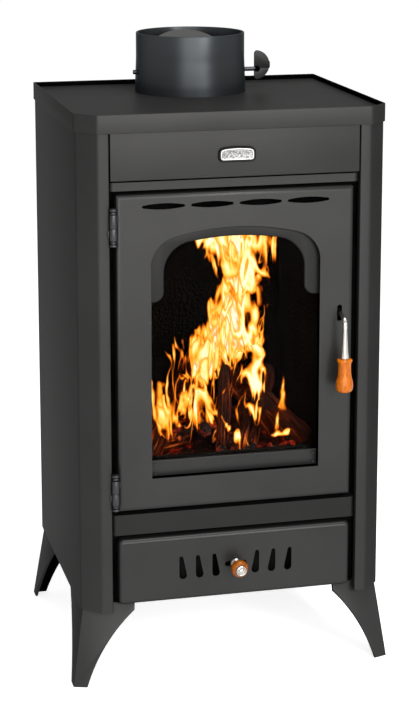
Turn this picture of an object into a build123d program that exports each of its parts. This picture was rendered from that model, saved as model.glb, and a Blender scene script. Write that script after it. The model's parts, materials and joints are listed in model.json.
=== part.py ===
from build123d import *
import math
import os

# Wood burning stove: sheet casing on four splayed legs, glazed door, ash drawer, flue collar
# X is to the right seen from the front, Y is to the back, Z is up, sizes are millimetres

# Overall casing
CASING_WIDTH = 400.0
CASING_DEPTH = 340.0
LEG_HEIGHT = 102.0
CASING_HEIGHT = 621.0
SHEET = 2.0
CHAMFER_X = 24.0
CHAMFER_Y = 24.0
FLANGE = 14.0
FLANGE_LIP = 8.0
REAR_LIP = 14.0

# Top tray and flue collar
RIM_HEIGHT = 23.5
RIM_SHEET = 2.0
TRAY_DEPTH = 6.5
TOP_PLATE = 3.0
SPIGOT_RADIUS = 73.5
COLLAR_FLARE = 1.5
COLLAR_WALL = 3.0
COLLAR_HEIGHT = 80.0
SPIGOT_LENGTH = 34.0
COLLAR_STRAIGHT = 12.0
COLLAR_REAR_GAP = 12.0
COLLAR_CLEARANCE = 0.3

# Flue damper
DAMPER_CLEARANCE = 2.5
DAMPER_SHEET = 2.0
DAMPER_GROOVE = 0.6
DAMPER_HEIGHT = 27.0
DAMPER_TILT = 38.0
SPINDLE_RADIUS = 3.0
SPINDLE_LEFT = 4.0
SPINDLE_RIGHT = 20.0
FLAG_WIDTH = 21.0
FLAG_HEIGHT = 40.0
FLAG_DROP = 15.0
FLAG_SHEET = 2.0
FLAG_ROUND = 4.5
FLAG_LAP = 4.0
FLAG_GROOVE = 0.4
DAMPER_SCREW_HEAD = 2.0
RUNNING_CLEARANCE = 0.05

# Firebox
BASE_RISE = 9.0
BASE_PLATE = 3.0
FIREBOX_WALL = 4.0
FIREBOX_SETBACK = 2.0
BACK_GAP = 28.0
HEARTH_RISE = 120.0
BRICK = 25.0
SIDE_BRICK_DROP = 69.0
BACK_BRICK_DROP = 29.0
BAFFLE = 20.0
BAFFLE_DROP = 132.0
BAFFLE_FRONT_GAP = 86.0
BRACKET_LEG = 20.0
BRACKET_SHEET = 3.0
GRATE_WIDTH = 180.0
GRATE_DEPTH = 140.0
GRATE_HEIGHT = 10.0
GRATE_LEDGE = 10.0
GRATE_SLOTS = 9
GRATE_SLOT_WIDTH = 8.0
GUARD_HEIGHT = 60.0
GUARD_THICK = 8.0
GUARD_SLOTS = 7
GUARD_SLOT_WIDTH = 11.5
GUARD_SLOT_HEIGHT = 36.0
GUARD_SLOT_CORNER = 5.4
FIRE_OPENING_MARGIN = 38.0
FIT_GAP = 0.3

# Front panels
FASCIA_HEIGHT = 59.5
HEAD_STRIP = 13.0
RAIL_SETBACK = 4.0
RAIL_UPSTAND = 38.0
MIDDLE_RAIL = 27.0
BADGE_WIDTH = 46.0
BADGE_HEIGHT = 18.0
BADGE_THICK = 3.0
BADGE_DROP = 30.5
BADGE_ARCH = 3.0
BADGE_CORNER = 2.5
BADGE_BORDER = 2.2
BADGE_RECESS = 0.8

# Door
DOOR_TOP_GAP = 4.5
DOOR_BOTTOM_GAP = 5.5
DOOR_DEPTH = 16.0
DOOR_SHEET = 2.5
PANEL_CORNER_RADIUS = 4.0
PANEL_EDGE_RADIUS = 3.0
SEAL_SPACE = 5.0
WINDOW_SIDE = 44.0
WINDOW_BOTTOM = 41.5
WINDOW_TOP = 46.0
ARCH_CROWN_RADIUS = 325.0
ARCH_CORNER_RADIUS = 40.0
TRIM_WIDTH = 18.5
TRIM_THICK = 1.2
TRIM_DROP = 94.5
TRIM_FOOT_RADIUS = 13.5
TRIM_LAP = 4.0
TRIM_CROWN_WIDTH = 13.2
SILL_HEIGHT = 21.0
SILL_LIFT = 0.5
SILL_SHEET = 1.5
SILL_LIP = 3.5
GLASS = 4.0
GLASS_LAP = 11.0
GLASS_GASKET = 7.0
GASKET_WIDTH = 6.5
LINER = 2.5
LINER_LAP = 8.0
LINER_SCREWS = 4
SCREW_RADIUS = 2.0
SCREW_HEAD_RADIUS = 3.8
SCREW_HEAD = 2.2
DOOR_SLOTS = 4
DOOR_SLOT_PITCH = 62.5
DOOR_SLOT_LENGTH = 54.5
DOOR_SLOT_HEIGHT = 8.0
DOOR_SLOT_END = 1.8
DOOR_SLOT_DROP = 16.0

# Hinges
DOOR_SIDE_GAP = 8.0
KNUCKLE_RADIUS = 5.0
KNUCKLE_SIDE_CLEARANCE = 0.4
PIN_RADIUS = 2.2
UPPER_KNUCKLE = 17.0
LOWER_KNUCKLE = 15.5
KNUCKLE_GAP = 0.3
FINIAL = 8.0
HINGE_FROM_DOOR_TOP = 40.0
HINGE_FROM_DOOR_BOTTOM = 27.0
HINGE_WELD_DEPTH = 5.0
HINGE_WELD_MARGIN = 1.0
FINIAL_CAP = 2.4
FINIAL_NECK = 4.0
FINIAL_NECK_RADIUS = 3.2
FINIAL_BEAD_RADIUS = 4.0

# Door handle
HANDLE_FROM_EDGE = 17.5
HANDLE_DROP = 163.0
HANDLE_ROD_RADIUS = 2.75
HANDLE_PIVOT_DEPTH = 7.0
HANDLE_HUB_RADIUS = 5.0
HANDLE_HUB_WIDTH = 5.8
HANDLE_PIN_RADIUS = 2.0
HANDLE_REACH = 24.0
HANDLE_FALL = 6.0
HANDLE_BEND = 9.0
HANDLE_CONE_TOP = 18.0
HANDLE_CONE_LENGTH = 39.0
HANDLE_CONE_RADIUS = 5.2
GRIP_LENGTH = 43.5
GRIP_RADIUS = 11.4
GRIP_COLLAR_RADIUS = 9.6
GRIP_NECK_RADIUS = 7.5
GRIP_COLLAR_HEIGHT = 4.0
GRIP_COLLAR_ROUND = 1.0
GRIP_WAIST_DROP = 23.0
GRIP_WAIST_RADIUS = 8.6
GRIP_NECK_RISE = 11.0
GRIP_BALL_RISE = 10.0
GRIP_END_RADIUS = 7.8
HANDLE_SLOT_WIDTH = 6.5
HANDLE_SLOT_UP = 8.5
HANDLE_SLOT_DOWN = 13.0
EAR_SHEET = 2.0
EAR_HEIGHT = 16.0
HOOK_THICK = 4.0
HOOK_ARM = 11.5
HOOK_DROP = 6.0
HOOK_NOSE = 3.0
HOOK_RISE = 1.5
KEEPER_GAP = 0.5
KEEPER_LIP = 2.0
KEEPER_WIDTH = 9.0
KEEPER_HEIGHT = 11.0

# Ash drawer
DRAWER_HEIGHT = 87.0
DRAWER_SIDE_GAP = 8.0
DRAWER_TOP_GAP = 5.5
DRAWER_FLOOR_GAP = 0.5
DRAWER_DEPTH = 16.0
DRAWER_SHEET = 2.5
ASH_BOX_INSET = 14.0
ASH_BOX_HEIGHT = 60.0
ASH_BOX_SHEET = 2.0
ASH_BOX_FRONT_GAP = 38.0
ASH_BOX_REAR_GAP = 12.0
RUNNER_WIDTH = 20.0
RUNNER_HEIGHT = 3.2
DRAWER_SLOT_PITCH = 21.9
DRAWER_SLOT_FIRST = 26.2
DRAWER_SLOT_HEIGHT = 31.0
DRAWER_SLOT_WIDE = 5.0
DRAWER_SLOT_NARROW = 2.6
DRAWER_SLOT_RISE = 28.0

# Air shutter behind the drawer front, moved by the knob
SHUTTER_SHEET = 2.0
SHUTTER_MARGIN = 8.0
SHUTTER_TRAVEL = 11.0
GUIDE_SHEET = 1.5
GUIDE_LAP = 5.0
KNOB_RISE = 43.5
KNOB_STEM_RADIUS = 3.0
KNOB_SLOT_CLEARANCE = 0.5
KNOB_STANDOFF = 13.0
FERRULE_RADIUS = 6.5
FERRULE_LENGTH = 8.0
FERRULE_NECK = 1.2
KNOB_RADIUS = 11.5
KNOB_LENGTH = 14.0
KNOB_ROUND = 4.5
KNOB_CAP_RADIUS = 7.0
KNOB_CAP_HEIGHT = 5.0
KNOB_CAP_ROUND = 4.0

# Legs
LEG_SHEET = 3.0
LEG_SPLAY_X = 12.5
LEG_SPLAY_Y = 10.0
LEG_FRONT_WING = 66.0
LEG_SIDE_WING = 95.0
LEG_FOOT = 18.0
LEG_CURVE = 7.5
LEG_CUT_ALLOWANCE = 9.0
LEG_CLEARANCE = 0.6
LEG_FRONT_SETBACK = 4.0
TAB_INSET = 30.0
LEG_BOLTS = 2
LEG_BOLT_PITCH = 45.0
LEG_BOLT_RADIUS = 4.0
LEG_BOLT_CLEARANCE = 0.05
BOLT_HEAD_RADIUS = 7.0
BOLT_HEAD = 5.0
NUT_HEIGHT = 6.0
BOLT_END = 1.0
HEXAGON = 6

# Rear screws
REAR_SCREWS = 4
REAR_SCREW_MARGIN = 40.0
REAR_SCREW_LENGTH = 8.0

# Levels and planes that follow from the sizes above
half_width = CASING_WIDTH / 2
front = -CASING_DEPTH / 2
back = CASING_DEPTH / 2
casing_bottom = LEG_HEIGHT
skirt_bottom = LEG_HEIGHT + CASING_HEIGHT
rim_top = skirt_bottom + RIM_HEIGHT
tray_level = rim_top - TRAY_DEPTH
casing_top = tray_level - TOP_PLATE
crown_bottom = casing_top - FIREBOX_WALL
base_bottom = casing_bottom + BASE_RISE
base_top = base_bottom + BASE_PLATE
flange_inner = half_width - CHAMFER_X - FLANGE
plate_front = front + DOOR_DEPTH + SEAL_SPACE
plate_back = plate_front + FIREBOX_WALL
firebox_half = flange_inner - FIREBOX_SETBACK
firebox_rear = back - SHEET - BACK_GAP - FIREBOX_WALL
hearth_bottom = base_top + HEARTH_RISE
hearth_top = hearth_bottom + FIREBOX_WALL
fascia_bottom = skirt_bottom - FASCIA_HEIGHT
head_bottom = fascia_bottom - HEAD_STRIP
rail_front = front + RAIL_SETBACK
drawer_bottom = base_bottom + DRAWER_FLOOR_GAP
drawer_top = drawer_bottom + DRAWER_HEIGHT
rail_bottom = drawer_top + DRAWER_TOP_GAP
rail_top = rail_bottom + MIDDLE_RAIL
door_bottom = rail_top + DOOR_BOTTOM_GAP
door_top = head_bottom - DOOR_TOP_GAP
door_half = flange_inner - DOOR_SIDE_GAP
window_half = door_half - WINDOW_SIDE
window_bottom = door_bottom + WINDOW_BOTTOM
window_top = door_top - WINDOW_TOP
drawer_half = flange_inner - DRAWER_SIDE_GAP
box_half = drawer_half - ASH_BOX_INSET
fire_half = door_half - FIRE_OPENING_MARGIN
fire_bottom = door_bottom + FIRE_OPENING_MARGIN
fire_top = door_top - FIRE_OPENING_MARGIN
collar_radius = SPIGOT_RADIUS + COLLAR_FLARE
collar_y = back - COLLAR_REAR_GAP - collar_radius
collar_top = tray_level + COLLAR_HEIGHT
damper_level = tray_level + DAMPER_HEIGHT
damper_radius = SPIGOT_RADIUS - COLLAR_WALL - DAMPER_CLEARANCE
hinge_x = -(flange_inner - DOOR_SIDE_GAP / 2)
barrel_reach = KNUCKLE_RADIUS + KNUCKLE_SIDE_CLEARANCE
hinge_y = front - math.sqrt(barrel_reach ** 2 - (DOOR_SIDE_GAP / 2) ** 2)
pivot_x = door_half - HANDLE_FROM_EDGE
pivot_y = front + HANDLE_PIVOT_DEPTH
pivot_z = door_top - HANDLE_DROP
glass_front = front + DOOR_SHEET + GLASS_GASKET
liner_front = glass_front + GLASS
liner_back = liner_front + LINER
glass_half = window_half + GLASS_LAP
liner_half = glass_half + LINER_LAP
knob_z = drawer_bottom + KNOB_RISE
slot_low = drawer_bottom + DRAWER_SLOT_RISE
slot_high = slot_low + DRAWER_SLOT_HEIGHT
shutter_front = front + DRAWER_SHEET + FIT_GAP
shutter_back = shutter_front + SHUTTER_SHEET
baffle_bottom = crown_bottom - BAFFLE_DROP
baffle_top = baffle_bottom + BAFFLE


def block(x0, x1, y0, y1, z0, z1):
    """A box between two corners."""
    middle = Pos((x0 + x1) / 2, (y0 + y1) / 2, (z0 + z1) / 2)
    return middle * Box(x1 - x0, y1 - y0, z1 - z0)


def bar_x(x0, x1, y, z, radius):
    """A round bar along X."""
    return Pos((x0 + x1) / 2, y, z) * Rot(0, 90, 0) * Cylinder(radius, x1 - x0)


def bar_y(x, y0, y1, z, radius):
    """A round bar along Y."""
    return Pos(x, (y0 + y1) / 2, z) * Rot(90, 0, 0) * Cylinder(radius, y1 - y0)


def bar_z(x, y, z0, z1, radius, sides=0):
    """A round or many-sided bar along Z."""
    if sides:
        return extrude(Pos(x, y, z0) * RegularPolygon(radius, sides), z1 - z0)
    return Pos(x, y, (z0 + z1) / 2) * Cylinder(radius, z1 - z0)


def front_prism(face, y0, y1):
    """A face drawn in X and Z, made solid from y0 back to y1."""
    return extrude(Plane.XZ.offset(-y0) * face, -(y1 - y0))


def plan_prism(face, z0, z1):
    """A face drawn in X and Y, made solid from z0 up to z1."""
    return extrude(Pos(0, 0, z0) * face, z1 - z0)


def mirrored(shape):
    """The same shape on the other side of the stove."""
    return mirror(shape, about=Plane.YZ)


def plan_outline(grow):
    """The casing seen from above, with its two cut front corners, grown outwards."""
    corners = [
        (-half_width, back),
        (-half_width, front + CHAMFER_Y),
        (-half_width + CHAMFER_X, front),
        (half_width - CHAMFER_X, front),
        (half_width, front + CHAMFER_Y),
        (half_width, back),
    ]
    face = make_face(Polyline(*corners, close=True).edges())
    if grow:
        return offset(face, grow, kind=Kind.INTERSECTION)
    return face


def arch(half, bottom, top):
    """A three-centred arch: straight sides, two tight shoulders and a flat crown."""
    crown_z = top - ARCH_CROWN_RADIUS
    reach = ARCH_CROWN_RADIUS - ARCH_CORNER_RADIUS
    corner_x = half - ARCH_CORNER_RADIUS
    spring = crown_z + math.sqrt(reach ** 2 - corner_x ** 2)
    turn = math.atan2(spring - crown_z, corner_x)
    join = (ARCH_CROWN_RADIUS * math.cos(turn), crown_z + ARCH_CROWN_RADIUS * math.sin(turn))
    middle = (
        corner_x + ARCH_CORNER_RADIUS * math.cos(turn / 2),
        spring + ARCH_CORNER_RADIUS * math.sin(turn / 2),
    )
    edges = [
        Line((-half, bottom), (half, bottom)),
        Line((half, bottom), (half, spring)),
        ThreePointArc((half, spring), middle, join),
        ThreePointArc(join, (0, top), (-join[0], join[1])),
        ThreePointArc((-join[0], join[1]), (-middle[0], middle[1]), (-half, spring)),
        Line((-half, spring), (-half, bottom)),
    ]
    return make_face(edges)


def lens(length, height):
    """A slot that swells in the middle and has blunt ends."""
    end_x = length / 2 - DOOR_SLOT_END
    tip = (end_x, DOOR_SLOT_END)
    tail = (end_x, -DOOR_SLOT_END)
    edges = [
        ThreePointArc((-tip[0], tip[1]), (0, height / 2), tip),
        ThreePointArc(tip, (length / 2, 0), tail),
        ThreePointArc(tail, (0, -height / 2), (-tail[0], tail[1])),
        ThreePointArc((-tail[0], tail[1]), (-length / 2, 0), (-tip[0], tip[1])),
    ]
    return make_face(edges)


def teardrop(side):
    """An air slot, round and wide below, narrow above, upright on its outer edge."""
    low = Pos(0, slot_low + DRAWER_SLOT_WIDE) * Circle(DRAWER_SLOT_WIDE)
    lean = side * (DRAWER_SLOT_WIDE - DRAWER_SLOT_NARROW)
    high = Pos(lean, slot_high - DRAWER_SLOT_NARROW) * Circle(DRAWER_SLOT_NARROW)
    return make_hull(low.edges() + high.edges())


def pressed_tray(half, z0, z1, depth, sheet):
    """A front panel pressed from sheet, open behind, with round front edges."""
    outer = block(-half, half, front, front + depth, z0, z1)
    outer = fillet(outer.edges().filter_by(Axis.Y), PANEL_CORNER_RADIUS)
    outer = fillet(outer.faces().sort_by(Axis.Y)[0].edges(), PANEL_EDGE_RADIUS)
    inner = block(-half + sheet, half - sheet, front + sheet, front + depth, z0 + sheet, z1 - sheet)
    return outer - inner


def air_slots():
    """The six air slots, as places and leaning sides."""
    for side in (-1, 1):
        for step in range(3):
            yield side * (DRAWER_SLOT_FIRST + step * DRAWER_SLOT_PITCH), side


def wing(top, foot, along, width, inward):
    """One flat wing of a leg, in the plane of its bend line, with a hollow curve to the foot."""
    along = along.normalized()
    down = (foot - top).normalized()
    plane = Plane(origin=top, x_dir=along, z_dir=along.cross(down))
    sole = plane.to_local_coords(foot)
    corner = Vector(width, 0)
    shoulder = Vector(width, plane.to_local_coords(top + down * BASE_RISE).Y)
    toe = Vector(sole.X + LEG_FOOT, sole.Y)
    chord = toe - shoulder
    across = Vector(chord.Y, -chord.X).normalized()
    across *= -math.copysign(LEG_CURVE, across.X)
    hollow = (shoulder + toe) * 0.5 + across
    below = Vector(sole.X, sole.Y).normalized() * LEG_CUT_ALLOWANCE
    edges = [
        Line((0, 0), corner),
        Line(corner, shoulder),
        ThreePointArc(shoulder, hollow, toe),
        Line(toe, toe + below),
        Line(toe + below, Vector(sole.X, sole.Y) + below),
        Line(Vector(sole.X, sole.Y) + below, (0, 0)),
    ]
    face = plane * make_face(edges)
    direction = plane.z_dir if plane.z_dir.dot(inward) > 0 else -plane.z_dir
    return extrude(face, LEG_SHEET, dir=direction)


def leg_lines(at_front):
    """Bend line, wing directions and widths of a left leg."""
    inner_x = -(half_width - SHEET - LEG_CLEARANCE)
    if at_front:
        foot = Vector(-half_width - LEG_SPLAY_X, front + CHAMFER_Y - LEG_SPLAY_Y, 0)
        edge = Vector(inner_x, front + CHAMFER_Y + LEG_CLEARANCE, casing_bottom)
    else:
        foot = Vector(-half_width - LEG_SPLAY_X, back + LEG_SPLAY_Y, 0)
        edge = Vector(inner_x, back - SHEET - LEG_CLEARANCE, casing_bottom)
    top = edge + (edge - foot) * (BASE_RISE / LEG_HEIGHT)
    side_way = Vector(0, 1 if at_front else -1, 0)
    cross_way = Vector(1, 0, 0)
    if at_front:
        inner_end = Vector(top.X + LEG_FRONT_WING, front + LEG_FRONT_SETBACK, base_bottom)
        cross_way = (inner_end - top).normalized()
    return top, foot, side_way, cross_way


def leg_bolt_places(at_front):
    """Bolt places of a left leg, between casing and firebox."""
    x = -(half_width - SHEET + firebox_half + FIREBOX_WALL) / 2
    top, _, side_way, _ = leg_lines(at_front)
    for step in range(LEG_BOLTS):
        yield x, top.Y + side_way.Y * (TAB_INSET + step * LEG_BOLT_PITCH)


def leg(at_front):
    """A left leg: two splayed wings and a tab bolted under the base plate."""
    top, foot, side_way, cross_way = leg_lines(at_front)
    centre = Vector(-top.X, -top.Y, 0)
    body = wing(top, foot, side_way, LEG_SIDE_WING, centre)
    body += wing(top, foot, cross_way, LEG_FRONT_WING, centre)
    reach = Vector(TAB_INSET, 0, 0)
    outline = [
        top,
        top + cross_way * LEG_FRONT_WING,
        top + side_way * TAB_INSET + reach,
        top + side_way * LEG_SIDE_WING + reach,
        top + side_way * LEG_SIDE_WING,
    ]
    tab_face = make_face(Polyline(*[(p.X, p.Y) for p in outline], close=True).edges())
    body += plan_prism(tab_face, base_bottom - LEG_SHEET, base_bottom)
    for x, y in leg_bolt_places(at_front):
        body -= bar_z(x, y, casing_bottom, base_top, LEG_BOLT_RADIUS + LEG_BOLT_CLEARANCE)
    under = block(-CASING_WIDTH, 0, -CASING_DEPTH, CASING_DEPTH, -LEG_HEIGHT, 0)
    return body - under


def all_leg_bolts():
    """Every leg bolt place on both sides."""
    for at_front in (True, False):
        for x, y in leg_bolt_places(at_front):
            yield x, y
            yield -x, y


def leg_fasteners():
    """The bolts and nuts that hold the legs under the base plate."""
    pieces = []
    for x, y in all_leg_bolts():
        tab = base_bottom - LEG_SHEET
        head = bar_z(x, y, tab - BOLT_HEAD, tab, BOLT_HEAD_RADIUS, HEXAGON)
        pieces.append(head + bar_z(x, y, tab, base_top + NUT_HEIGHT + BOLT_END, LEG_BOLT_RADIUS))
        nut_top = base_top + NUT_HEIGHT
        nut = bar_z(x, y, base_top, nut_top, BOLT_HEAD_RADIUS, HEXAGON)
        pieces.append(nut - bar_z(x, y, base_top, nut_top, LEG_BOLT_RADIUS + LEG_BOLT_CLEARANCE))
    return Compound(pieces)


def base_plate():
    plate = plan_prism(plan_outline(-SHEET), base_bottom, base_top)
    plate &= block(-half_width, half_width, plate_front, back, base_bottom, base_top)
    for x, y in all_leg_bolts():
        plate -= bar_z(x, y, base_bottom, base_top, LEG_BOLT_RADIUS + LEG_BOLT_CLEARANCE)
    return plate


def rear_screw_places():
    """Screws that hold the back sheet to the rear lips of the sides."""
    x = half_width - SHEET - REAR_LIP / 2
    low = casing_bottom + REAR_SCREW_MARGIN
    high = casing_top - REAR_SCREW_MARGIN
    for step in range(REAR_SCREWS):
        z = low + (high - low) * step / (REAR_SCREWS - 1)
        yield -x, z
        yield x, z


def casing_left():
    """Side, cut corner, front flange and the lips that stiffen it."""
    ring = plan_outline(0) - plan_outline(-SHEET)
    sheet = plan_prism(ring, casing_bottom, casing_top)
    sheet &= block(-half_width, -flange_inner, front, back - SHEET, casing_bottom, casing_top)
    lip_x = -flange_inner - SHEET
    lip_y = front + SHEET
    lip = block(lip_x, lip_x + SHEET, lip_y, lip_y + FLANGE_LIP, casing_bottom, casing_top)
    rear_x = -half_width + SHEET
    rear = block(rear_x, rear_x + REAR_LIP, back - 2 * SHEET, back - SHEET, base_top, casing_top)
    shell = sheet + lip + rear
    for x, z in rear_screw_places():
        shell -= bar_y(x, back - 2 * SHEET, back - SHEET, z, SCREW_RADIUS + RUNNING_CLEARANCE)
    return shell


def casing_back():
    sheet = block(-half_width, half_width, back - SHEET, back, casing_bottom, casing_top)
    for x, z in rear_screw_places():
        sheet -= bar_y(x, back - SHEET, back, z, SCREW_RADIUS + RUNNING_CLEARANCE)
    return sheet


def casing_screws():
    screws = []
    for x, z in rear_screw_places():
        shank = bar_y(x, back - REAR_SCREW_LENGTH, back, z, SCREW_RADIUS)
        screws.append(shank + bar_y(x, back, back + SCREW_HEAD, z, SCREW_HEAD_RADIUS))
    return Compound(screws)


def fascia_panel():
    half = flange_inner - FIT_GAP
    face = block(-half, half, front, front + SHEET, fascia_bottom, casing_top)
    return face + block(-half, half, front + SHEET, rail_front, fascia_bottom, fascia_bottom + SHEET)


def badge_plate():
    """A blank plate with a raised border and an arched top edge."""
    low = -BADGE_HEIGHT / 2
    side = BADGE_HEIGHT / 2 - BADGE_ARCH
    outline = [
        Line((-BADGE_WIDTH / 2, low), (BADGE_WIDTH / 2, low)),
        Line((BADGE_WIDTH / 2, low), (BADGE_WIDTH / 2, side)),
        ThreePointArc((BADGE_WIDTH / 2, side), (0, BADGE_HEIGHT / 2), (-BADGE_WIDTH / 2, side)),
        Line((-BADGE_WIDTH / 2, side), (-BADGE_WIDTH / 2, low)),
    ]
    face = make_face(outline)
    face = fillet(face.vertices(), BADGE_CORNER)
    place = Pos(0, skirt_bottom - BADGE_DROP)
    plate = front_prism(place * face, front - BADGE_THICK, front)
    face_y = front - BADGE_THICK
    recess = front_prism(place * offset(face, -BADGE_BORDER), face_y, face_y + BADGE_RECESS)
    return plate - recess


def top_rim():
    return plan_prism(plan_outline(RIM_SHEET) - plan_outline(0), skirt_bottom, rim_top)


def top_plate():
    plate = plan_prism(plan_outline(0), casing_top, tray_level)
    return plate - bar_z(0, collar_y, casing_top, tray_level, collar_radius + COLLAR_CLEARANCE)


def flue_collar():
    """A tube that narrows to the spigot, drilled for the damper spindle."""
    taper_low = tray_level + COLLAR_STRAIGHT
    taper_high = collar_top - SPIGOT_LENGTH
    profile = [
        (collar_radius - COLLAR_WALL, casing_top),
        (collar_radius, casing_top),
        (collar_radius, taper_low),
        (SPIGOT_RADIUS, taper_high),
        (SPIGOT_RADIUS, collar_top),
        (SPIGOT_RADIUS - COLLAR_WALL, collar_top),
        (SPIGOT_RADIUS - COLLAR_WALL, taper_high),
        (collar_radius - COLLAR_WALL, taper_low),
    ]
    face = Plane.XZ * make_face(Polyline(*profile, close=True).edges())
    tube = Pos(0, collar_y, 0) * revolve(face, Axis.Z)
    reach = 2 * collar_radius
    return tube - bar_x(-reach, reach, collar_y, damper_level, SPINDLE_RADIUS + RUNNING_CLEARANCE)


def damper_disc():
    """The throttle disc, laid against the spindle and grooved to seat on it."""
    seat = SPINDLE_RADIUS - DAMPER_GROOVE + DAMPER_SHEET / 2
    disc = Pos(0, 0, -seat) * Cylinder(damper_radius, DAMPER_SHEET)
    disc = Pos(0, collar_y, damper_level) * Rot(90 - DAMPER_TILT, 0, 0) * disc
    reach = 2 * damper_radius
    return disc - bar_x(-reach, reach, collar_y, damper_level, SPINDLE_RADIUS + RUNNING_CLEARANCE)


def damper_spindle():
    left = -collar_radius - SPINDLE_LEFT
    right = collar_radius + SPINDLE_RIGHT
    return bar_x(left, right, collar_y, damper_level, SPINDLE_RADIUS)


def damper_flag():
    """A half-moon plate welded behind the spindle's end."""
    left = collar_radius + SPINDLE_RIGHT - FLAG_LAP
    low = damper_level - FLAG_DROP
    high = low + FLAG_HEIGHT
    bulge = (left + FLAG_WIDTH, damper_level)
    face = make_face([Line((left, high), (left, low)), ThreePointArc((left, low), bulge, (left, high))])
    face = fillet(face.vertices(), FLAG_ROUND)
    plate = front_prism(face, collar_y, collar_y + SPINDLE_RADIUS + FLAG_SHEET)
    rod = bar_x(left, left + FLAG_WIDTH, collar_y, damper_level, SPINDLE_RADIUS)
    thin = block(left, left + FLAG_WIDTH, collar_y, collar_y + SPINDLE_RADIUS - FLAG_GROOVE, low, high)
    return plate - rod - thin


def damper_screws():
    """Two screws that hold the disc to the spindle."""
    screws = []
    for x in (-damper_radius / 2, damper_radius / 2):
        rise = SPINDLE_RADIUS + DAMPER_SCREW_HEAD / 2
        head = Pos(0, 0, rise) * Cylinder(SCREW_HEAD_RADIUS, DAMPER_SCREW_HEAD)
        head -= bar_x(-SCREW_HEAD_RADIUS, SCREW_HEAD_RADIUS, 0, 0, SPINDLE_RADIUS)
        screws.append(Pos(x, collar_y, damper_level) * Rot(90 - DAMPER_TILT, 0, 0) * head)
    return Compound(screws)


def firebox_front():
    """The inner front plate with the fire opening above and the drawer opening below."""
    outer = firebox_half + FIREBOX_WALL
    plate = block(-outer, outer, plate_front, plate_back, base_top, crown_bottom)
    plate -= block(-fire_half, fire_half, plate_front, plate_back, fire_bottom, fire_top)
    reach = box_half + ASH_BOX_INSET / 2
    return plate - block(-reach, reach, plate_front, plate_back, base_top, drawer_top)


def firebox_left():
    outer = firebox_half + FIREBOX_WALL
    return block(-outer, -firebox_half, plate_back, firebox_rear, base_top, crown_bottom)


def firebox_back():
    outer = firebox_half + FIREBOX_WALL
    return block(-outer, outer, firebox_rear, firebox_rear + FIREBOX_WALL, base_top, crown_bottom)


def firebox_crown():
    outer = firebox_half + FIREBOX_WALL
    plate = block(-outer, outer, plate_front, firebox_rear + FIREBOX_WALL, crown_bottom, casing_top)
    return plate - bar_z(0, collar_y, crown_bottom, casing_top, collar_radius - COLLAR_WALL)


def hearth_middle():
    """The middle of the hearth, front to back."""
    return (plate_back + firebox_rear - BRICK) / 2


def hearth_plate():
    plate = block(-firebox_half, firebox_half, plate_back, firebox_rear, hearth_bottom, hearth_top)
    half = GRATE_WIDTH / 2 - GRATE_LEDGE
    deep = GRATE_DEPTH / 2 - GRATE_LEDGE
    y = hearth_middle()
    return plate - block(-half, half, y - deep, y + deep, hearth_bottom, hearth_top)


def fire_grate():
    half = GRATE_WIDTH / 2
    deep = GRATE_DEPTH / 2
    y = hearth_middle()
    high = hearth_top + GRATE_HEIGHT
    grate = block(-half, half, y - deep, y + deep, hearth_top, high)
    pitch = (GRATE_WIDTH - 2 * GRATE_LEDGE) / GRATE_SLOTS
    length = deep - GRATE_LEDGE
    for step in range(GRATE_SLOTS):
        x = (step - (GRATE_SLOTS - 1) / 2) * pitch
        w = GRATE_SLOT_WIDTH / 2
        grate -= block(x - w, x + w, y - length, y + length, hearth_top, high)
    return grate


def side_brick_left():
    y0 = plate_back + FIT_GAP
    y1 = firebox_rear - BRICK
    return block(-firebox_half, -firebox_half + BRICK, y0, y1, hearth_top, baffle_bottom - SIDE_BRICK_DROP)


def back_brick():
    y0 = firebox_rear - BRICK
    return block(-firebox_half, firebox_half, y0, firebox_rear, hearth_top, baffle_bottom - BACK_BRICK_DROP)


def log_guard():
    """A cast bar that keeps logs off the glass, slotted for air."""
    half = firebox_half - BRICK - FIT_GAP
    y0 = plate_back + FIT_GAP
    high = hearth_top + GUARD_HEIGHT
    bar = block(-half, half, y0, y0 + GUARD_THICK, hearth_top, high)
    pitch = 2 * half / GUARD_SLOTS
    for step in range(GUARD_SLOTS):
        x = (step - (GUARD_SLOTS - 1) / 2) * pitch
        slot = RectangleRounded(GUARD_SLOT_WIDTH, GUARD_SLOT_HEIGHT, GUARD_SLOT_CORNER)
        bar -= front_prism(Pos(x, hearth_top + GUARD_HEIGHT / 2) * slot, y0, y0 + GUARD_THICK)
    return bar


def baffle_plate():
    y0 = plate_back + BAFFLE_FRONT_GAP
    half = firebox_half - FIT_GAP
    return block(-half, half, y0, firebox_rear, baffle_bottom, baffle_top)


def baffle_brackets():
    """Angle brackets on the side walls that carry the baffle."""
    y0 = plate_back + BAFFLE_FRONT_GAP
    wall_x = -firebox_half
    low = baffle_bottom - BRACKET_LEG
    shelf_z = baffle_bottom - BRACKET_SHEET
    shelf = block(wall_x, wall_x + BRACKET_LEG, y0, firebox_rear, shelf_z, baffle_bottom)
    web = block(wall_x, wall_x + BRACKET_SHEET, y0, firebox_rear, low, shelf_z)
    left = shelf + web
    return Compound([left, mirrored(left)])


def head_rail():
    """The recessed strip above the door, with a lip back to the firebox."""
    half = flange_inner - FIT_GAP
    face = block(-half, half, rail_front, rail_front + SHEET, head_bottom, head_bottom + RAIL_UPSTAND)
    return face + block(-half, half, rail_front + SHEET, plate_front, head_bottom, head_bottom + SHEET)


def middle_rail():
    """The channel between the door and the drawer."""
    half = flange_inner - FIT_GAP
    channel = block(-half, half, rail_front, plate_front, rail_bottom, rail_top)
    low = rail_bottom + SHEET
    return channel - block(-half, half, rail_front + SHEET, plate_front, low, rail_top - SHEET)


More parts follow.
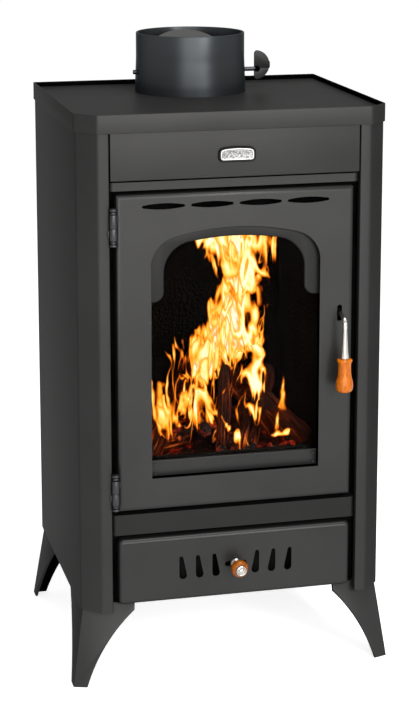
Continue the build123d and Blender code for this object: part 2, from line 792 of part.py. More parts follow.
def drawer_runners():
    outer = box_half - FIT_GAP
    y1 = firebox_rear - ASH_BOX_REAR_GAP
    left = block(-outer, -outer + RUNNER_WIDTH, plate_back, y1, base_top, base_top + RUNNER_HEIGHT)
    return Compound([left, mirrored(left)])


def hinge_levels():
    """The level where the two knuckles of each hinge meet."""
    upper = door_top - HINGE_FROM_DOOR_TOP
    lower = door_bottom + HINGE_FROM_DOOR_BOTTOM
    return upper, lower


def knuckle(z0, z1, weld_end):
    """A hinge barrel and the weld that joins it to the door or to the flange."""
    barrel = bar_z(hinge_x, hinge_y, z0, z1, KNUCKLE_RADIUS)
    x0, x1 = sorted((hinge_x, weld_end))
    y1 = front + HINGE_WELD_DEPTH
    barrel += block(x0, x1, hinge_y, y1, z0 + HINGE_WELD_MARGIN, z1 - HINGE_WELD_MARGIN)
    return barrel - bar_z(hinge_x, hinge_y, z0, z1, PIN_RADIUS + RUNNING_CLEARANCE)


def door_knuckles():
    return Compound([knuckle(z, z + UPPER_KNUCKLE, -door_half) for z in hinge_levels()])


def casing_knuckles():
    levels = [z - KNUCKLE_GAP for z in hinge_levels()]
    return Compound([knuckle(z - LOWER_KNUCKLE, z, -flange_inner) for z in levels])


def finial(z, way):
    """A beaded end cap on a hinge pin."""
    cap = bar_z(hinge_x, hinge_y, *sorted((z, z + way * FINIAL_CAP)), KNUCKLE_RADIUS)
    neck = bar_z(hinge_x, hinge_y, *sorted((z, z + way * FINIAL_NECK)), FINIAL_NECK_RADIUS)
    bead = Pos(hinge_x, hinge_y, z + way * (FINIAL - FINIAL_BEAD_RADIUS)) * Sphere(FINIAL_BEAD_RADIUS)
    return cap + neck + bead


def hinge_pins():
    pins = []
    for z in hinge_levels():
        low = z - KNUCKLE_GAP - LOWER_KNUCKLE
        high = z + UPPER_KNUCKLE + KNUCKLE_GAP
        pins.append(bar_z(hinge_x, hinge_y, low, high, PIN_RADIUS) + finial(high, 1) + finial(low, -1))
    return Compound(pins)


def door_panel():
    """The pressed door with its window, air slots and handle slot."""
    panel = pressed_tray(door_half, door_bottom, door_top, DOOR_DEPTH, DOOR_SHEET)
    sheet_back = front + DOOR_SHEET
    window = arch(window_half, window_bottom, window_top)
    panel -= front_prism(window, front, sheet_back)
    for step in range(DOOR_SLOTS):
        x = (step - (DOOR_SLOTS - 1) / 2) * DOOR_SLOT_PITCH
        slot = Pos(x, door_top - DOOR_SLOT_DROP) * lens(DOOR_SLOT_LENGTH, DOOR_SLOT_HEIGHT)
        panel -= front_prism(slot, front, sheet_back)
    length = HANDLE_SLOT_UP + HANDLE_SLOT_DOWN
    slot = Rot(0, 0, 90) * SlotOverall(length, HANDLE_SLOT_WIDTH)
    middle = pivot_z + (HANDLE_SLOT_UP - HANDLE_SLOT_DOWN) / 2
    return panel - front_prism(Pos(pivot_x, middle) * slot, front, sheet_back)


def window_trim():
    """The arched strip against the glass, its legs rounded off at their feet."""
    lap = arch(window_half + TRIM_LAP, window_bottom, window_top + TRIM_LAP)
    hole = arch(window_half - TRIM_WIDTH, window_bottom, window_top - TRIM_CROWN_WIDTH)
    foot = window_top - TRIM_DROP
    outer = window_half + TRIM_LAP
    inner = window_half - TRIM_WIDTH
    r = TRIM_FOOT_RADIUS
    turn = r * (1 - math.sqrt(0.5))
    below = [
        Line((-outer, window_bottom), (outer, window_bottom)),
        Line((outer, window_bottom), (outer, foot)),
        Line((outer, foot), (inner + r, foot)),
        ThreePointArc((inner + r, foot), (inner + turn, foot + turn), (inner, foot + r)),
        Line((inner, foot + r), (-inner, foot + r)),
        ThreePointArc((-inner, foot + r), (-inner - turn, foot + turn), (-inner - r, foot)),
        Line((-inner - r, foot), (-outer, foot)),
        Line((-outer, foot), (-outer, window_bottom)),
    ]
    face = lap - hole - make_face(below)
    return front_prism(face, glass_front - TRIM_THICK, glass_front)


def glass_sill():
    """The lipped strip across the foot of the window, against the glass."""
    low = window_bottom + SILL_LIFT
    high = low + SILL_HEIGHT
    half = window_half - FIT_GAP
    face_y = glass_front - SILL_SHEET
    face = block(-half, half, face_y, glass_front, low, high)
    return face + block(-half, half, glass_front - SILL_LIP, face_y, high - SILL_SHEET, high)


def glass_pane():
    low = window_bottom - GLASS_LAP
    return block(-glass_half, glass_half, glass_front, glass_front + GLASS, low, window_top + GLASS_LAP)


def ring(half, z0, z1, width, y0, y1):
    """A rectangular ring of one width."""
    outer = block(-half, half, y0, y1, z0, z1)
    return outer - block(-half + width, half - width, y0, y1, z0 + width, z1 - width)


def glass_gasket():
    low = window_bottom - GLASS_LAP
    return ring(glass_half, low, window_top + GLASS_LAP, GASKET_WIDTH, front + DOOR_SHEET, glass_front)


def liner_edges():
    """Lower and upper edge of the frame that clamps the glass."""
    return window_bottom - GLASS_LAP - LINER_LAP, window_top + GLASS_LAP + LINER_LAP


def liner_screw_places():
    low, high = liner_edges()
    x = liner_half - LINER_LAP / 2
    for step in range(LINER_SCREWS):
        z = low + LINER_LAP + (high - low - 2 * LINER_LAP) * step / (LINER_SCREWS - 1)
        yield -x, z
        yield x, z


def glass_frame():
    """The steel frame that clamps the glass against its gasket."""
    low, high = liner_edges()
    frame = ring(liner_half, low, high, GLASS_LAP + LINER_LAP - FIT_GAP, liner_front, liner_back)
    for x, z in liner_screw_places():
        frame -= bar_y(x, liner_front, liner_back, z, SCREW_RADIUS + RUNNING_CLEARANCE)
    return frame


def frame_screws():
    screws = []
    for x, z in liner_screw_places():
        shank = bar_y(x, front + DOOR_SHEET, liner_back, z, SCREW_RADIUS)
        screws.append(shank + bar_y(x, liner_back, liner_back + SCREW_HEAD, z, SCREW_HEAD_RADIUS))
    return Compound(screws)


def door_seal():
    """The rope that closes the door against the firebox, beside the screw heads."""
    low, high = liner_edges()
    inset = LINER_LAP
    return ring(liner_half - inset, low + inset, high - inset, LINER_LAP, liner_back, plate_front - FIT_GAP)


def handle_ears():
    """Two ears behind the door that carry the handle pin."""
    inner = HANDLE_HUB_WIDTH / 2 + FIT_GAP
    y1 = pivot_y + HANDLE_HUB_RADIUS
    low = pivot_z - EAR_HEIGHT / 2
    ears = []
    for x in (pivot_x - inner - EAR_SHEET, pivot_x + inner):
        ear = block(x, x + EAR_SHEET, front + DOOR_SHEET, y1, low, low + EAR_HEIGHT)
        ears.append(ear - bar_x(x, x + EAR_SHEET, pivot_y, pivot_z, HANDLE_PIN_RADIUS + RUNNING_CLEARANCE))
    return Compound(ears)


def handle_pin():
    half = HANDLE_HUB_WIDTH / 2 + FIT_GAP + EAR_SHEET
    return bar_x(pivot_x - half, pivot_x + half, pivot_y, pivot_z, HANDLE_PIN_RADIUS)


def handle_axis():
    """The upright line of the handle's cone and grip."""
    return pivot_y - HANDLE_PIVOT_DEPTH - HANDLE_REACH


def handle_rod():
    """Hub, bent rod and the hook that draws the door shut."""
    half = HANDLE_HUB_WIDTH / 2
    hub = bar_x(pivot_x - half, pivot_x + half, pivot_y, pivot_z, HANDLE_HUB_RADIUS)
    path = FilletPolyline(
        (pivot_x, pivot_y, pivot_z),
        (pivot_x, handle_axis(), pivot_z - HANDLE_FALL),
        (pivot_x, handle_axis(), pivot_z - HANDLE_CONE_TOP),
        radius=HANDLE_BEND,
    )
    profile = Plane(origin=path @ 0, z_dir=path % 0) * Circle(HANDLE_ROD_RADIUS)
    rod = hub + sweep(profile, path=path)
    x0 = pivot_x - HOOK_THICK / 2
    x1 = pivot_x + HOOK_THICK / 2
    tip = pivot_y + HOOK_ARM
    rod += block(x0, x1, pivot_y, tip, pivot_z - HOOK_DROP, pivot_z - HOOK_DROP + HOOK_NOSE)
    rod += block(x0, x1, tip - HOOK_NOSE, tip, pivot_z - HOOK_DROP, pivot_z + HOOK_RISE)
    bore = HANDLE_PIN_RADIUS + RUNNING_CLEARANCE
    return rod - bar_x(pivot_x - half, pivot_x + half, pivot_y, pivot_z, bore)


def handle_cone():
    """The bright tapered ferrule between rod and grip."""
    high = pivot_z - HANDLE_CONE_TOP
    cone = Cone(HANDLE_CONE_RADIUS, HANDLE_ROD_RADIUS, HANDLE_CONE_LENGTH)
    return Pos(pivot_x, handle_axis(), high - HANDLE_CONE_LENGTH / 2) * cone


def handle_grip():
    """The turned wooden grip: collar, waist and ball."""
    high = pivot_z - HANDLE_CONE_TOP - HANDLE_CONE_LENGTH
    low = high - GRIP_LENGTH
    waist = high - GRIP_WAIST_DROP
    ball = low + GRIP_BALL_RISE
    shoulder = GRIP_COLLAR_RADIUS - GRIP_COLLAR_ROUND
    collar_low = high - GRIP_COLLAR_HEIGHT
    collar_middle = high - GRIP_COLLAR_HEIGHT / 2
    neck = (GRIP_NECK_RADIUS, waist + GRIP_NECK_RISE)
    edges = [
        Line((0, high), (shoulder, high)),
        ThreePointArc((shoulder, high), (GRIP_COLLAR_RADIUS, collar_middle), (shoulder, collar_low)),
        ThreePointArc((shoulder, collar_low), neck, (GRIP_WAIST_RADIUS, waist)),
        ThreePointArc((GRIP_WAIST_RADIUS, waist), (GRIP_RADIUS, ball), (GRIP_END_RADIUS, low)),
        Line((GRIP_END_RADIUS, low), (0, low)),
        Line((0, low), (0, high)),
    ]
    body = revolve(Plane.XZ * make_face(edges), Axis.Z)
    return Pos(pivot_x, handle_axis(), 0) * body


def latch_keeper():
    """The bracket on the firebox that the handle's hook draws against."""
    low = pivot_z + HOOK_RISE + KEEPER_GAP
    high = low + KEEPER_HEIGHT
    x0 = pivot_x - KEEPER_WIDTH / 2
    x1 = pivot_x + KEEPER_WIDTH / 2
    lip_back = pivot_y + HOOK_ARM - HOOK_NOSE - KEEPER_GAP
    lip = block(x0, x1, lip_back - KEEPER_LIP, lip_back, low, high)
    return lip + block(x0, x1, lip_back, plate_front, high - KEEPER_LIP, high)


def drawer_front():
    """The pressed drawer front with air slots and the slot for the knob."""
    panel = pressed_tray(drawer_half, drawer_bottom, drawer_top, DRAWER_DEPTH, DRAWER_SHEET)
    for x, side in air_slots():
        panel -= front_prism(Pos(x, 0) * teardrop(side), front, front + DRAWER_SHEET)
    r = KNOB_STEM_RADIUS + KNOB_SLOT_CLEARANCE
    slot = Pos(0, knob_z) * SlotCenterToCenter(2 * SHUTTER_TRAVEL, 2 * r)
    return panel - front_prism(slot, front, front + DRAWER_SHEET)


def shutter_levels():
    """Lower and upper edge of the air shutter."""
    return slot_low - SHUTTER_MARGIN, slot_high + SHUTTER_MARGIN


def shutter_half():
    return DRAWER_SLOT_FIRST + 2 * DRAWER_SLOT_PITCH + DRAWER_SLOT_PITCH / 2 + SHUTTER_MARGIN


def shutter_guides():
    """Two folded strips behind the drawer front that the shutter slides in."""
    low, high = shutter_levels()
    half = shutter_half() + SHUTTER_TRAVEL
    sheet_back = front + DRAWER_SHEET
    cover = shutter_back + FIT_GAP
    guides = []
    for edge, way in ((low, -1), (high, 1)):
        foot = sorted((edge + way * FIT_GAP, edge + way * GUIDE_LAP))
        lip = sorted((edge - way * GUIDE_LAP, edge + way * GUIDE_LAP))
        guide = block(-half, half, sheet_back, cover, *foot)
        guides.append(guide + block(-half, half, cover, cover + GUIDE_SHEET, *lip))
    return Compound(guides)


def shutter_plate():
    """The slide plate, pierced like the drawer front."""
    low, high = shutter_levels()
    half = shutter_half()
    plate = block(-half, half, shutter_front, shutter_back, low, high)
    for x, side in air_slots():
        plate -= front_prism(Pos(x, 0) * teardrop(side), shutter_front, shutter_back)
    return plate


def ash_box():
    """The ash pan, whose sides run forward to the drawer front."""
    low = base_top + RUNNER_HEIGHT + FIT_GAP
    high = low + ASH_BOX_HEIGHT
    y0 = front + ASH_BOX_FRONT_GAP
    y1 = firebox_rear - ASH_BOX_REAR_GAP
    t = ASH_BOX_SHEET
    pan = block(-box_half, box_half, y0, y1, low, high)
    pan -= block(-box_half + t, box_half - t, y0 + t, y1 - t, low + t, high)
    cheek = block(-box_half, -box_half + t, front + DRAWER_SHEET, y0, low, high)
    return pan + cheek + mirrored(cheek)


def knob_stem():
    return bar_y(0, front - KNOB_STANDOFF - KNOB_LENGTH, shutter_front, knob_z, KNOB_STEM_RADIUS)


def knob_ferrule():
    """The bright cone between the drawer front and the wooden knob."""
    cone = Rot(90, 0, 0) * Cone(KNOB_STEM_RADIUS + FERRULE_NECK, FERRULE_RADIUS, FERRULE_LENGTH)
    cone = Pos(0, front - KNOB_STANDOFF + FERRULE_LENGTH / 2, knob_z) * cone
    return cone - bar_y(0, front - KNOB_STANDOFF, front, knob_z, KNOB_STEM_RADIUS)


def wooden_knob():
    y1 = front - KNOB_STANDOFF
    knob = bar_y(0, y1 - KNOB_LENGTH, y1, knob_z, KNOB_RADIUS)
    knob = fillet(knob.edges(), KNOB_ROUND)
    return knob - bar_y(0, y1 - KNOB_LENGTH, y1, knob_z, KNOB_STEM_RADIUS)


def knob_cap():
    """The domed bright cap on the face of the knob."""
    y1 = front - KNOB_STANDOFF - KNOB_LENGTH
    cap = bar_y(0, y1 - KNOB_CAP_HEIGHT, y1, knob_z, KNOB_CAP_RADIUS)
    return fillet(cap.faces().sort_by(Axis.Y)[0].edges(), KNOB_CAP_ROUND)


left_front_leg = leg(True)
left_rear_leg = leg(False)
nodes = {
    "leg_front_left": left_front_leg,
    "leg_front_right": mirrored(left_front_leg),
    "leg_rear_left": left_rear_leg,
    "leg_rear_right": mirrored(left_rear_leg),
    "leg_fasteners": leg_fasteners(),
    "base_plate": base_plate(),
    "casing_left": casing_left(),
    "casing_right": mirrored(casing_left()),
    "casing_back": casing_back(),
    "casing_screws": casing_screws(),
    "fascia_panel": fascia_panel(),
    "badge_plate": badge_plate(),
    "top_rim": top_rim(),
    "top_plate": top_plate(),
    "flue_collar": flue_collar(),
    "damper_disc": damper_disc(),
    "damper_spindle": damper_spindle(),
    "damper_flag": damper_flag(),
    "damper_screws": damper_screws(),
    "firebox_front": firebox_front(),
    "firebox_left": firebox_left(),
    "firebox_right": mirrored(firebox_left()),
    "firebox_back": firebox_back(),
    "firebox_crown": firebox_crown(),
    "hearth_plate": hearth_plate(),
    "fire_grate": fire_grate(),
    "side_brick_left": side_brick_left(),
    "side_brick_right": mirrored(side_brick_left()),
    "back_brick": back_brick(),
    "log_guard": log_guard(),
    "baffle_plate": baffle_plate(),
    "baffle_brackets": baffle_brackets(),
    "head_rail": head_rail(),
    "middle_rail": middle_rail(),
    "drawer_runners": drawer_runners(),
    "casing_knuckles": casing_knuckles(),
    "hinge_pins": hinge_pins(),
    "latch_keeper": latch_keeper(),
    "door_panel": door_panel(),
    "door_knuckles": door_knuckles(),
    "window_trim": window_trim(),
    "glass_sill": glass_sill(),
    "glass_pane": glass_pane(),
    "glass_gasket": glass_gasket(),
    "glass_frame": glass_frame(),
    "frame_screws": frame_screws(),
    "door_seal": door_seal(),
    "handle_ears": handle_ears(),
    "handle_pin": handle_pin(),
    "handle_rod": handle_rod(),
    "handle_cone": handle_cone(),
    "handle_grip": handle_grip(),
    "drawer_front": drawer_front(),
    "ash_box": ash_box(),
    "shutter_guides": shutter_guides(),
    "shutter_plate": shutter_plate(),
    "knob_stem": knob_stem(),
    "knob_ferrule": knob_ferrule(),
    "wooden_knob": wooden_knob(),
    "knob_cap": knob_cap(),
}

# The origin is on the floor under the middle of the whole stove
boxes = [shape.bounding_box() for shape in nodes.values()]
nearest = min(box.min.Y for box in boxes)
furthest = max(box.max.Y for box in boxes)
shift = -(nearest + furthest) / 2
os.makedirs("parts", exist_ok=True)
for name, shape in nodes.items():
    export_step(Pos(0, shift, 0) * shape, f"parts/{name}.step")

print("nodes", len(nodes), "moved in Y by", round(shift, 4))
print("front plane", front + shift, "back plane", back + shift, "flue collar Y", collar_y + shift)
print("hinge axis", hinge_x, hinge_y + shift, "handle pivot", pivot_x, pivot_y + shift, pivot_z)
print("damper level", damper_level, "collar top", collar_top, "tray level", tray_level)
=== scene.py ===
# %% [markdown]
# # A wood burning stove
# The stove is a dark painted sheet box on four splayed legs, with a glazed door, an ash drawer and a flue
# collar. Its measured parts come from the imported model, which is loaded first and never moved. This lesson
# dresses those parts in paint, chrome, wood, glass and brick, and models what a measured part leaves plain:
# the bends of the sheet, the beads of the hinges, the turned wood and the fire behind the glass.

# %% Load the measured parts
import json
import math
import random

import bmesh
import bpy
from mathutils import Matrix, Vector


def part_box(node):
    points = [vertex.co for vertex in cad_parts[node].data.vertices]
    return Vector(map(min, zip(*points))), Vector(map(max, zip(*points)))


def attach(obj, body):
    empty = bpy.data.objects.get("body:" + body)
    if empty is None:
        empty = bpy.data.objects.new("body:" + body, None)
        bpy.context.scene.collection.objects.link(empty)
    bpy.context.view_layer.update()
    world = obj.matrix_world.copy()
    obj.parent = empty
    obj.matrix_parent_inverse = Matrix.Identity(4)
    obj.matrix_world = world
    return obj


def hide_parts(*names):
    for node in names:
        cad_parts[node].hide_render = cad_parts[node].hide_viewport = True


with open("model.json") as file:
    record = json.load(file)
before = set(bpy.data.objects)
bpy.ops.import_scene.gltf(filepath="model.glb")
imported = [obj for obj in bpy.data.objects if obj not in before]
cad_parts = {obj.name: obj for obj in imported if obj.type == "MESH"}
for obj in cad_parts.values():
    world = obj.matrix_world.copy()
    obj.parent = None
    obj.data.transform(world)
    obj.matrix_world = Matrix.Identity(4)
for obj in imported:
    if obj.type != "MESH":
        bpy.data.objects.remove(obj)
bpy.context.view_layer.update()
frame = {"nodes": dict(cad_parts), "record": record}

# %% [markdown]
# ## The camera
# The photograph was taken from the left of the door, well above the middle of the stove, with its upright
# edges held nearly parallel. A long lens with a little shift does the same here. The place and the angles
# were worked out from edges whose real size is known, so the render can be laid over the photograph.

# %% Camera
PHOTO_LONG_SIDE = 720
CAMERA_PLACE = (-0.6107, -2.4979, 1.0859)
CAMERA_PITCH = 0.1929
CAMERA_YAW = -0.2414
FOCAL_PIXELS = 1968.5
SENSOR_MM = 36
LENS_SHIFT = -0.2

camera_data = bpy.data.cameras.new("photo_camera")
camera_data.sensor_width = SENSOR_MM
camera_data.lens = FOCAL_PIXELS * SENSOR_MM / PHOTO_LONG_SIDE
camera_data.shift_y = LENS_SHIFT
camera = bpy.data.objects.new("photo_camera", camera_data)
camera.location = CAMERA_PLACE
camera.rotation_euler = (math.pi / 2 - CAMERA_PITCH, 0, CAMERA_YAW)
bpy.context.scene.collection.objects.link(camera)
bpy.context.scene.camera = camera
print("camera lens", round(camera_data.lens, 1), "mm")

# %% [markdown]
# ## The studio
# A product photograph of dark paint needs broad, quiet light: a large softbox near the camera gives the
# front its even grey, a smaller lamp on the right draws the shadows of the handle and the window edge, and
# a weak one above lights the tray. The world gives a low even light, and shows as white behind the stove
# and in its reflections.

# %% Lamps
AIM = Vector((0, 0, 0.45))


def softbox(name, place, width, height, watts):
    """An area lamp that looks at the middle of the stove."""
    lamp_data = bpy.data.lights.new(name, "AREA")
    lamp_data.shape = "RECTANGLE"
    lamp_data.size = width
    lamp_data.size_y = height
    lamp_data.energy = watts
    lamp = bpy.data.objects.new(name, lamp_data)
    lamp.location = place
    lamp.rotation_euler = (AIM - Vector(place)).to_track_quat("-Z", "Y").to_euler()
    bpy.context.scene.collection.objects.link(lamp)


softbox("front_softbox", (-0.3, -3.3, 1.0), 3.2, 1.9, 94)
softbox("right_lamp", (0.95, -2.9, 1.35), 0.3, 0.7, 32)
softbox("top_lamp", (0.4, -0.7, 2.7), 1.4, 1.2, 46)
print("lamps", [lamp.name for lamp in bpy.data.lights])

# %% Adding nodes
def plug(tree, socket, value):
    """Links a socket to another one, or sets it when the value is a plain number or colour."""
    if isinstance(value, bpy.types.NodeSocket):
        tree.links.new(value, socket)
    else:
        socket.default_value = value


def fill(tree, node, **values):
    """Links or sets the named inputs of a node."""
    for name, value in values.items():
        plug(tree, node.inputs[name.replace("_", " ")], value)


def add_node(tree, kind, **values):
    """A new shader node with some of its inputs filled."""
    node = tree.nodes.new("ShaderNode" + kind)
    fill(tree, node, **values)
    return node


def combine(tree, operation, first, second):
    """Arithmetic on two values; either may be a plain number."""
    node = add_node(tree, "Math")
    node.operation = operation
    for socket, value in zip(node.inputs, (first, second)):
        plug(tree, socket, value)
    return node.outputs[0]


print("node helpers ready")

# %% World
WORLD_LIGHT = 0.3
WHITE = (1, 1, 1, 1)


def seen_directly(tree):
    """One for rays from the camera, from reflections and through glass, and nought for all others."""
    path = add_node(tree, "LightPath")
    total = path.outputs["Is Camera Ray"]
    for other in ("Is Glossy Ray", "Is Transmission Ray"):
        total = combine(tree, "MAXIMUM", total, path.outputs[other])
    return total


def lit_or_seen(tree, lit, seen):
    """A shader that acts on other things in one way and is itself seen in another."""
    node = add_node(tree, "MixShader")
    for socket, value in zip(node.inputs, (seen_directly(tree), lit, seen)):
        plug(tree, socket, value)
    return node.outputs[0]


world = bpy.data.worlds.new("white_room")
bpy.context.scene.world = world
world.use_nodes = True
world_tree = world.node_tree
world_tree.nodes.clear()
room_light = add_node(world_tree, "Background", Color=WHITE, Strength=WORLD_LIGHT)
room_white = add_node(world_tree, "Background", Color=WHITE)
room = lit_or_seen(world_tree, room_light.outputs[0], room_white.outputs[0])
add_node(world_tree, "OutputWorld", Surface=room)
bpy.context.scene.view_settings.view_transform = "Standard"
print("world", world.name)

# %% [markdown]
# ## The floor
# The floor is one wide pale sheet. It glows a little for the camera so that it joins the white behind it,
# and it is still lit by the lamps, so the stove's soft shadow stays on it.

# %% Floor
FLOOR_SIZE = 24
FLOOR_GREY = 0.8
FLOOR_DROP = 0.0006


def start_clean():
    """Leave edit mode and deselect everything, so that the next operator acts only on what it makes."""
    if bpy.context.object and bpy.context.object.mode != "OBJECT":
        bpy.ops.object.mode_set(mode="OBJECT")
    bpy.ops.object.select_all(action="DESELECT")


start_clean()
bpy.ops.mesh.primitive_plane_add(size=FLOOR_SIZE, location=(0, 0, -FLOOR_DROP))
floor = bpy.context.object
floor.name = "studio_floor"
floor_finish = bpy.data.materials.new("studio_floor")
floor_finish.use_nodes = True
floor_tree = floor_finish.node_tree
floor_tree.nodes.clear()
floor_matt = add_node(floor_tree, "BsdfDiffuse", Color=(FLOOR_GREY, FLOOR_GREY, FLOOR_GREY, 1))
floor_glow = add_node(floor_tree, "Emission", Strength=1 - FLOOR_GREY * WORLD_LIGHT)
floor_sum = add_node(floor_tree, "AddShader")
for socket, part in zip(floor_sum.inputs, (floor_matt, floor_glow)):
    plug(floor_tree, socket, part.outputs[0])
floor_surface = lit_or_seen(floor_tree, floor_matt.outputs[0], floor_sum.outputs[0])
add_node(floor_tree, "OutputMaterial", Surface=floor_surface)
floor.data.materials.append(floor_finish)
print("floor", FLOOR_SIZE, "m across")

# %% [markdown]
# ## Building finishes from nodes
# Every finish starts as Blender's Principled surface, and its colour, roughness and bump come from noise
# laid in the object's own coordinates, so a pattern keeps its real size on every part. A few short helpers
# add the nodes that come up again and again. Three effects are shared as groups: the sandy skin of sprayed
# paint, a coat of soot and the fine scratches of polished metal.

# %% Pattern helpers
def new_finish(name, **values):
    """A new material, its node tree and its Principled surface, with plain values for the surface."""
    finish = bpy.data.materials.new(name)
    finish.use_nodes = True
    surface = finish.node_tree.nodes["Principled BSDF"]
    fill(finish.node_tree, surface, **values)
    return finish, finish.node_tree, surface


def coordinates(tree, output="Object", stretch=(1, 1, 1), turn=(0, 0, 0)):
    """Coordinates of the piece itself, stretched and turned for a pattern."""
    source = add_node(tree, "TexCoord").outputs[output]
    return add_node(tree, "Mapping", Vector=source, Scale=stretch, Rotation=turn).outputs["Vector"]


def noise(tree, vector, scale, detail=4.0, roughness=0.55, distortion=0.0):
    """A cloudy value from nought to one."""
    node = add_node(tree, "TexNoise", Vector=vector, Scale=scale, Detail=detail)
    fill(tree, node, Roughness=roughness, Distortion=distortion)
    return node.outputs["Fac"]


def cells(tree, vector, scale):
    """The distance to the middle of crumbly cells."""
    return add_node(tree, "TexVoronoi", Vector=vector, Scale=scale).outputs["Distance"]


def ramp(tree, value, stops):
    """Turns a value into colours, given as places and colours along the ramp."""
    node = add_node(tree, "ValToRGB", Fac=value)
    line = node.color_ramp.elements
    while len(line) < len(stops):
        line.new(0.5)
    for element, (place, colour) in zip(line, stops):
        element.position = place
        element.color = (*colour, 1)
    return node.outputs["Color"]


def spread(tree, value, low, high, from_low=0.0, from_high=1.0):
    """Moves a value from one span to another."""
    node = add_node(tree, "MapRange", Value=value, From_Min=from_low, From_Max=from_high)
    fill(tree, node, To_Min=low, To_Max=high)
    return node.outputs["Result"]


def blend_colours(tree, factor, first, second):
    """Two colours mixed by a value."""
    node = add_node(tree, "Mix")
    node.data_type = "RGBA"
    plug(tree, node.inputs[0], factor)
    for socket, colour in ((node.inputs[6], first), (node.inputs[7], second)):
        plug(tree, socket, (*colour, 1) if isinstance(colour, tuple) else colour)
    return node.outputs[2]


def bump(tree, surface, height, distance, strength):
    """Small relief, in metres, on a surface."""
    node = add_node(tree, "Bump", Height=height, Distance=distance, Strength=strength)
    fill(tree, surface, Normal=node.outputs["Normal"])


print("pattern helpers ready")

# %% Group helpers
def new_group(name, inputs, outputs):
    """An empty shader group with named sockets."""
    group = bpy.data.node_groups.new(name, "ShaderNodeTree")
    for socket, kind in inputs:
        group.interface.new_socket(socket, in_out="INPUT", socket_type=kind)
    for socket, kind in outputs:
        group.interface.new_socket(socket, in_out="OUTPUT", socket_type=kind)
    return group, group.nodes.new("NodeGroupInput"), group.nodes.new("NodeGroupOutput")


def use_group(tree, group, **values):
    """Places a group in a material, with its own values."""
    node = add_node(tree, "Group")
    node.node_tree = group
    fill(tree, node, **values)
    return node


FLOAT = "NodeSocketFloat"
COLOUR = "NodeSocketColor"
VECTOR = "NodeSocketVector"
print("group helpers ready")

# %% Shared effect groups
paint_skin, skin_in, skin_out = new_group(
    "paint_skin",
    [("Vector", VECTOR), ("Dark", COLOUR), ("Light", COLOUR), ("Dull", FLOAT), ("Gloss", FLOAT)],
    [("Colour", COLOUR), ("Roughness", FLOAT), ("Height", FLOAT)],
)
skin_grain = noise(paint_skin, skin_in.outputs["Vector"], 1300, 3.0, 0.6)
skin_cloud = noise(paint_skin, skin_in.outputs["Vector"], 7, 3.0, 0.5)
skin_speck = combine(paint_skin, "ADD", combine(paint_skin, "MULTIPLY", skin_grain, 0.45), skin_cloud)
skin_tone = spread(paint_skin, skin_speck, 0, 1, 0.45, 1.0)
skin_colour = blend_colours(paint_skin, skin_tone, skin_in.outputs["Dark"], skin_in.outputs["Light"])
skin_rough = spread(paint_skin, skin_cloud, skin_in.outputs["Gloss"], skin_in.outputs["Dull"])
fill(paint_skin, skin_out, Colour=skin_colour, Roughness=skin_rough, Height=skin_grain)

soot_coat, soot_in, soot_out = new_group(
    "soot_coat",
    [("Vector", VECTOR), ("Clean", COLOUR), ("Soot", COLOUR), ("Patch", FLOAT)],
    [("Colour", COLOUR), ("Roughness", FLOAT), ("Height", FLOAT)],
)
soot_cloud = noise(soot_coat, soot_in.outputs["Vector"], 16, 6.0, 0.65)
soot_grain = noise(soot_coat, soot_in.outputs["Vector"], 420, 3.0, 0.6)
soot_amount = combine(soot_coat, "ADD", soot_cloud, combine(soot_coat, "MULTIPLY", soot_grain, 0.25))
soot_mask = spread(soot_coat, soot_amount, 0.0, 1.0, soot_in.outputs["Patch"], 0.9)
soot_colour = blend_colours(soot_coat, soot_mask, soot_in.outputs["Soot"], soot_in.outputs["Clean"])
soot_rough = spread(soot_coat, soot_cloud, 0.95, 0.6)
fill(soot_coat, soot_out, Colour=soot_colour, Roughness=soot_rough, Height=soot_grain)

fine_scratch, scratch_in, scratch_out = new_group(
    "fine_scratch",
    [("Vector", VECTOR), ("Smooth", FLOAT), ("Worn", FLOAT)],
    [("Roughness", FLOAT), ("Height", FLOAT)],
)
scratch_lines = noise(fine_scratch, scratch_in.outputs["Vector"], 900, 2.0, 0.7)
scratch_haze = noise(fine_scratch, scratch_in.outputs["Vector"], 60, 3.0, 0.6)
scratch_sum = combine(fine_scratch, "MULTIPLY", scratch_lines, scratch_haze)
scratch_ends = (scratch_in.outputs["Smooth"], scratch_in.outputs["Worn"])
scratch_rough = spread(fine_scratch, scratch_sum, *scratch_ends, 0.0, 0.5)
fill(fine_scratch, scratch_out, Roughness=scratch_rough, Height=scratch_lines)
print("groups", paint_skin.name, soot_coat.name, fine_scratch.name)

# %% [markdown]
# ## Painted sheet
# The casing wears a flat heat-proof paint with a little metal flake in it, sandy to the touch. The flake
# makes it shine towards the lamp and go dark at the sides, so part of the surface is metal, and its edge
# tint is kept low. The door and the drawer are the same paint on smoother pressed sheet. Each uses the
# paint group with its own values.

# %% Paint finishes
EDGE_TINT = (0.4, 0.4, 0.4, 1)


def paint(name, dark, light, gloss, dull, flake, grain):
    """A sprayed paint made from the paint group; flake is the share of metal in it."""
    metal_part = {"Metallic": flake, "Specular_IOR_Level": 0.0, "Specular_Tint": EDGE_TINT}
    finish, tree, surface = new_finish(name, **metal_part)
    tones = {"Dark": (*dark, 1), "Light": (*light, 1)}
    skin = use_group(tree, paint_skin, Vector=coordinates(tree), Gloss=gloss, Dull=dull, **tones)
    fill(tree, surface, Base_Color=skin.outputs["Colour"], Roughness=skin.outputs["Roughness"])
    bump(tree, surface, skin.outputs["Height"], grain, 0.5)
    return finish


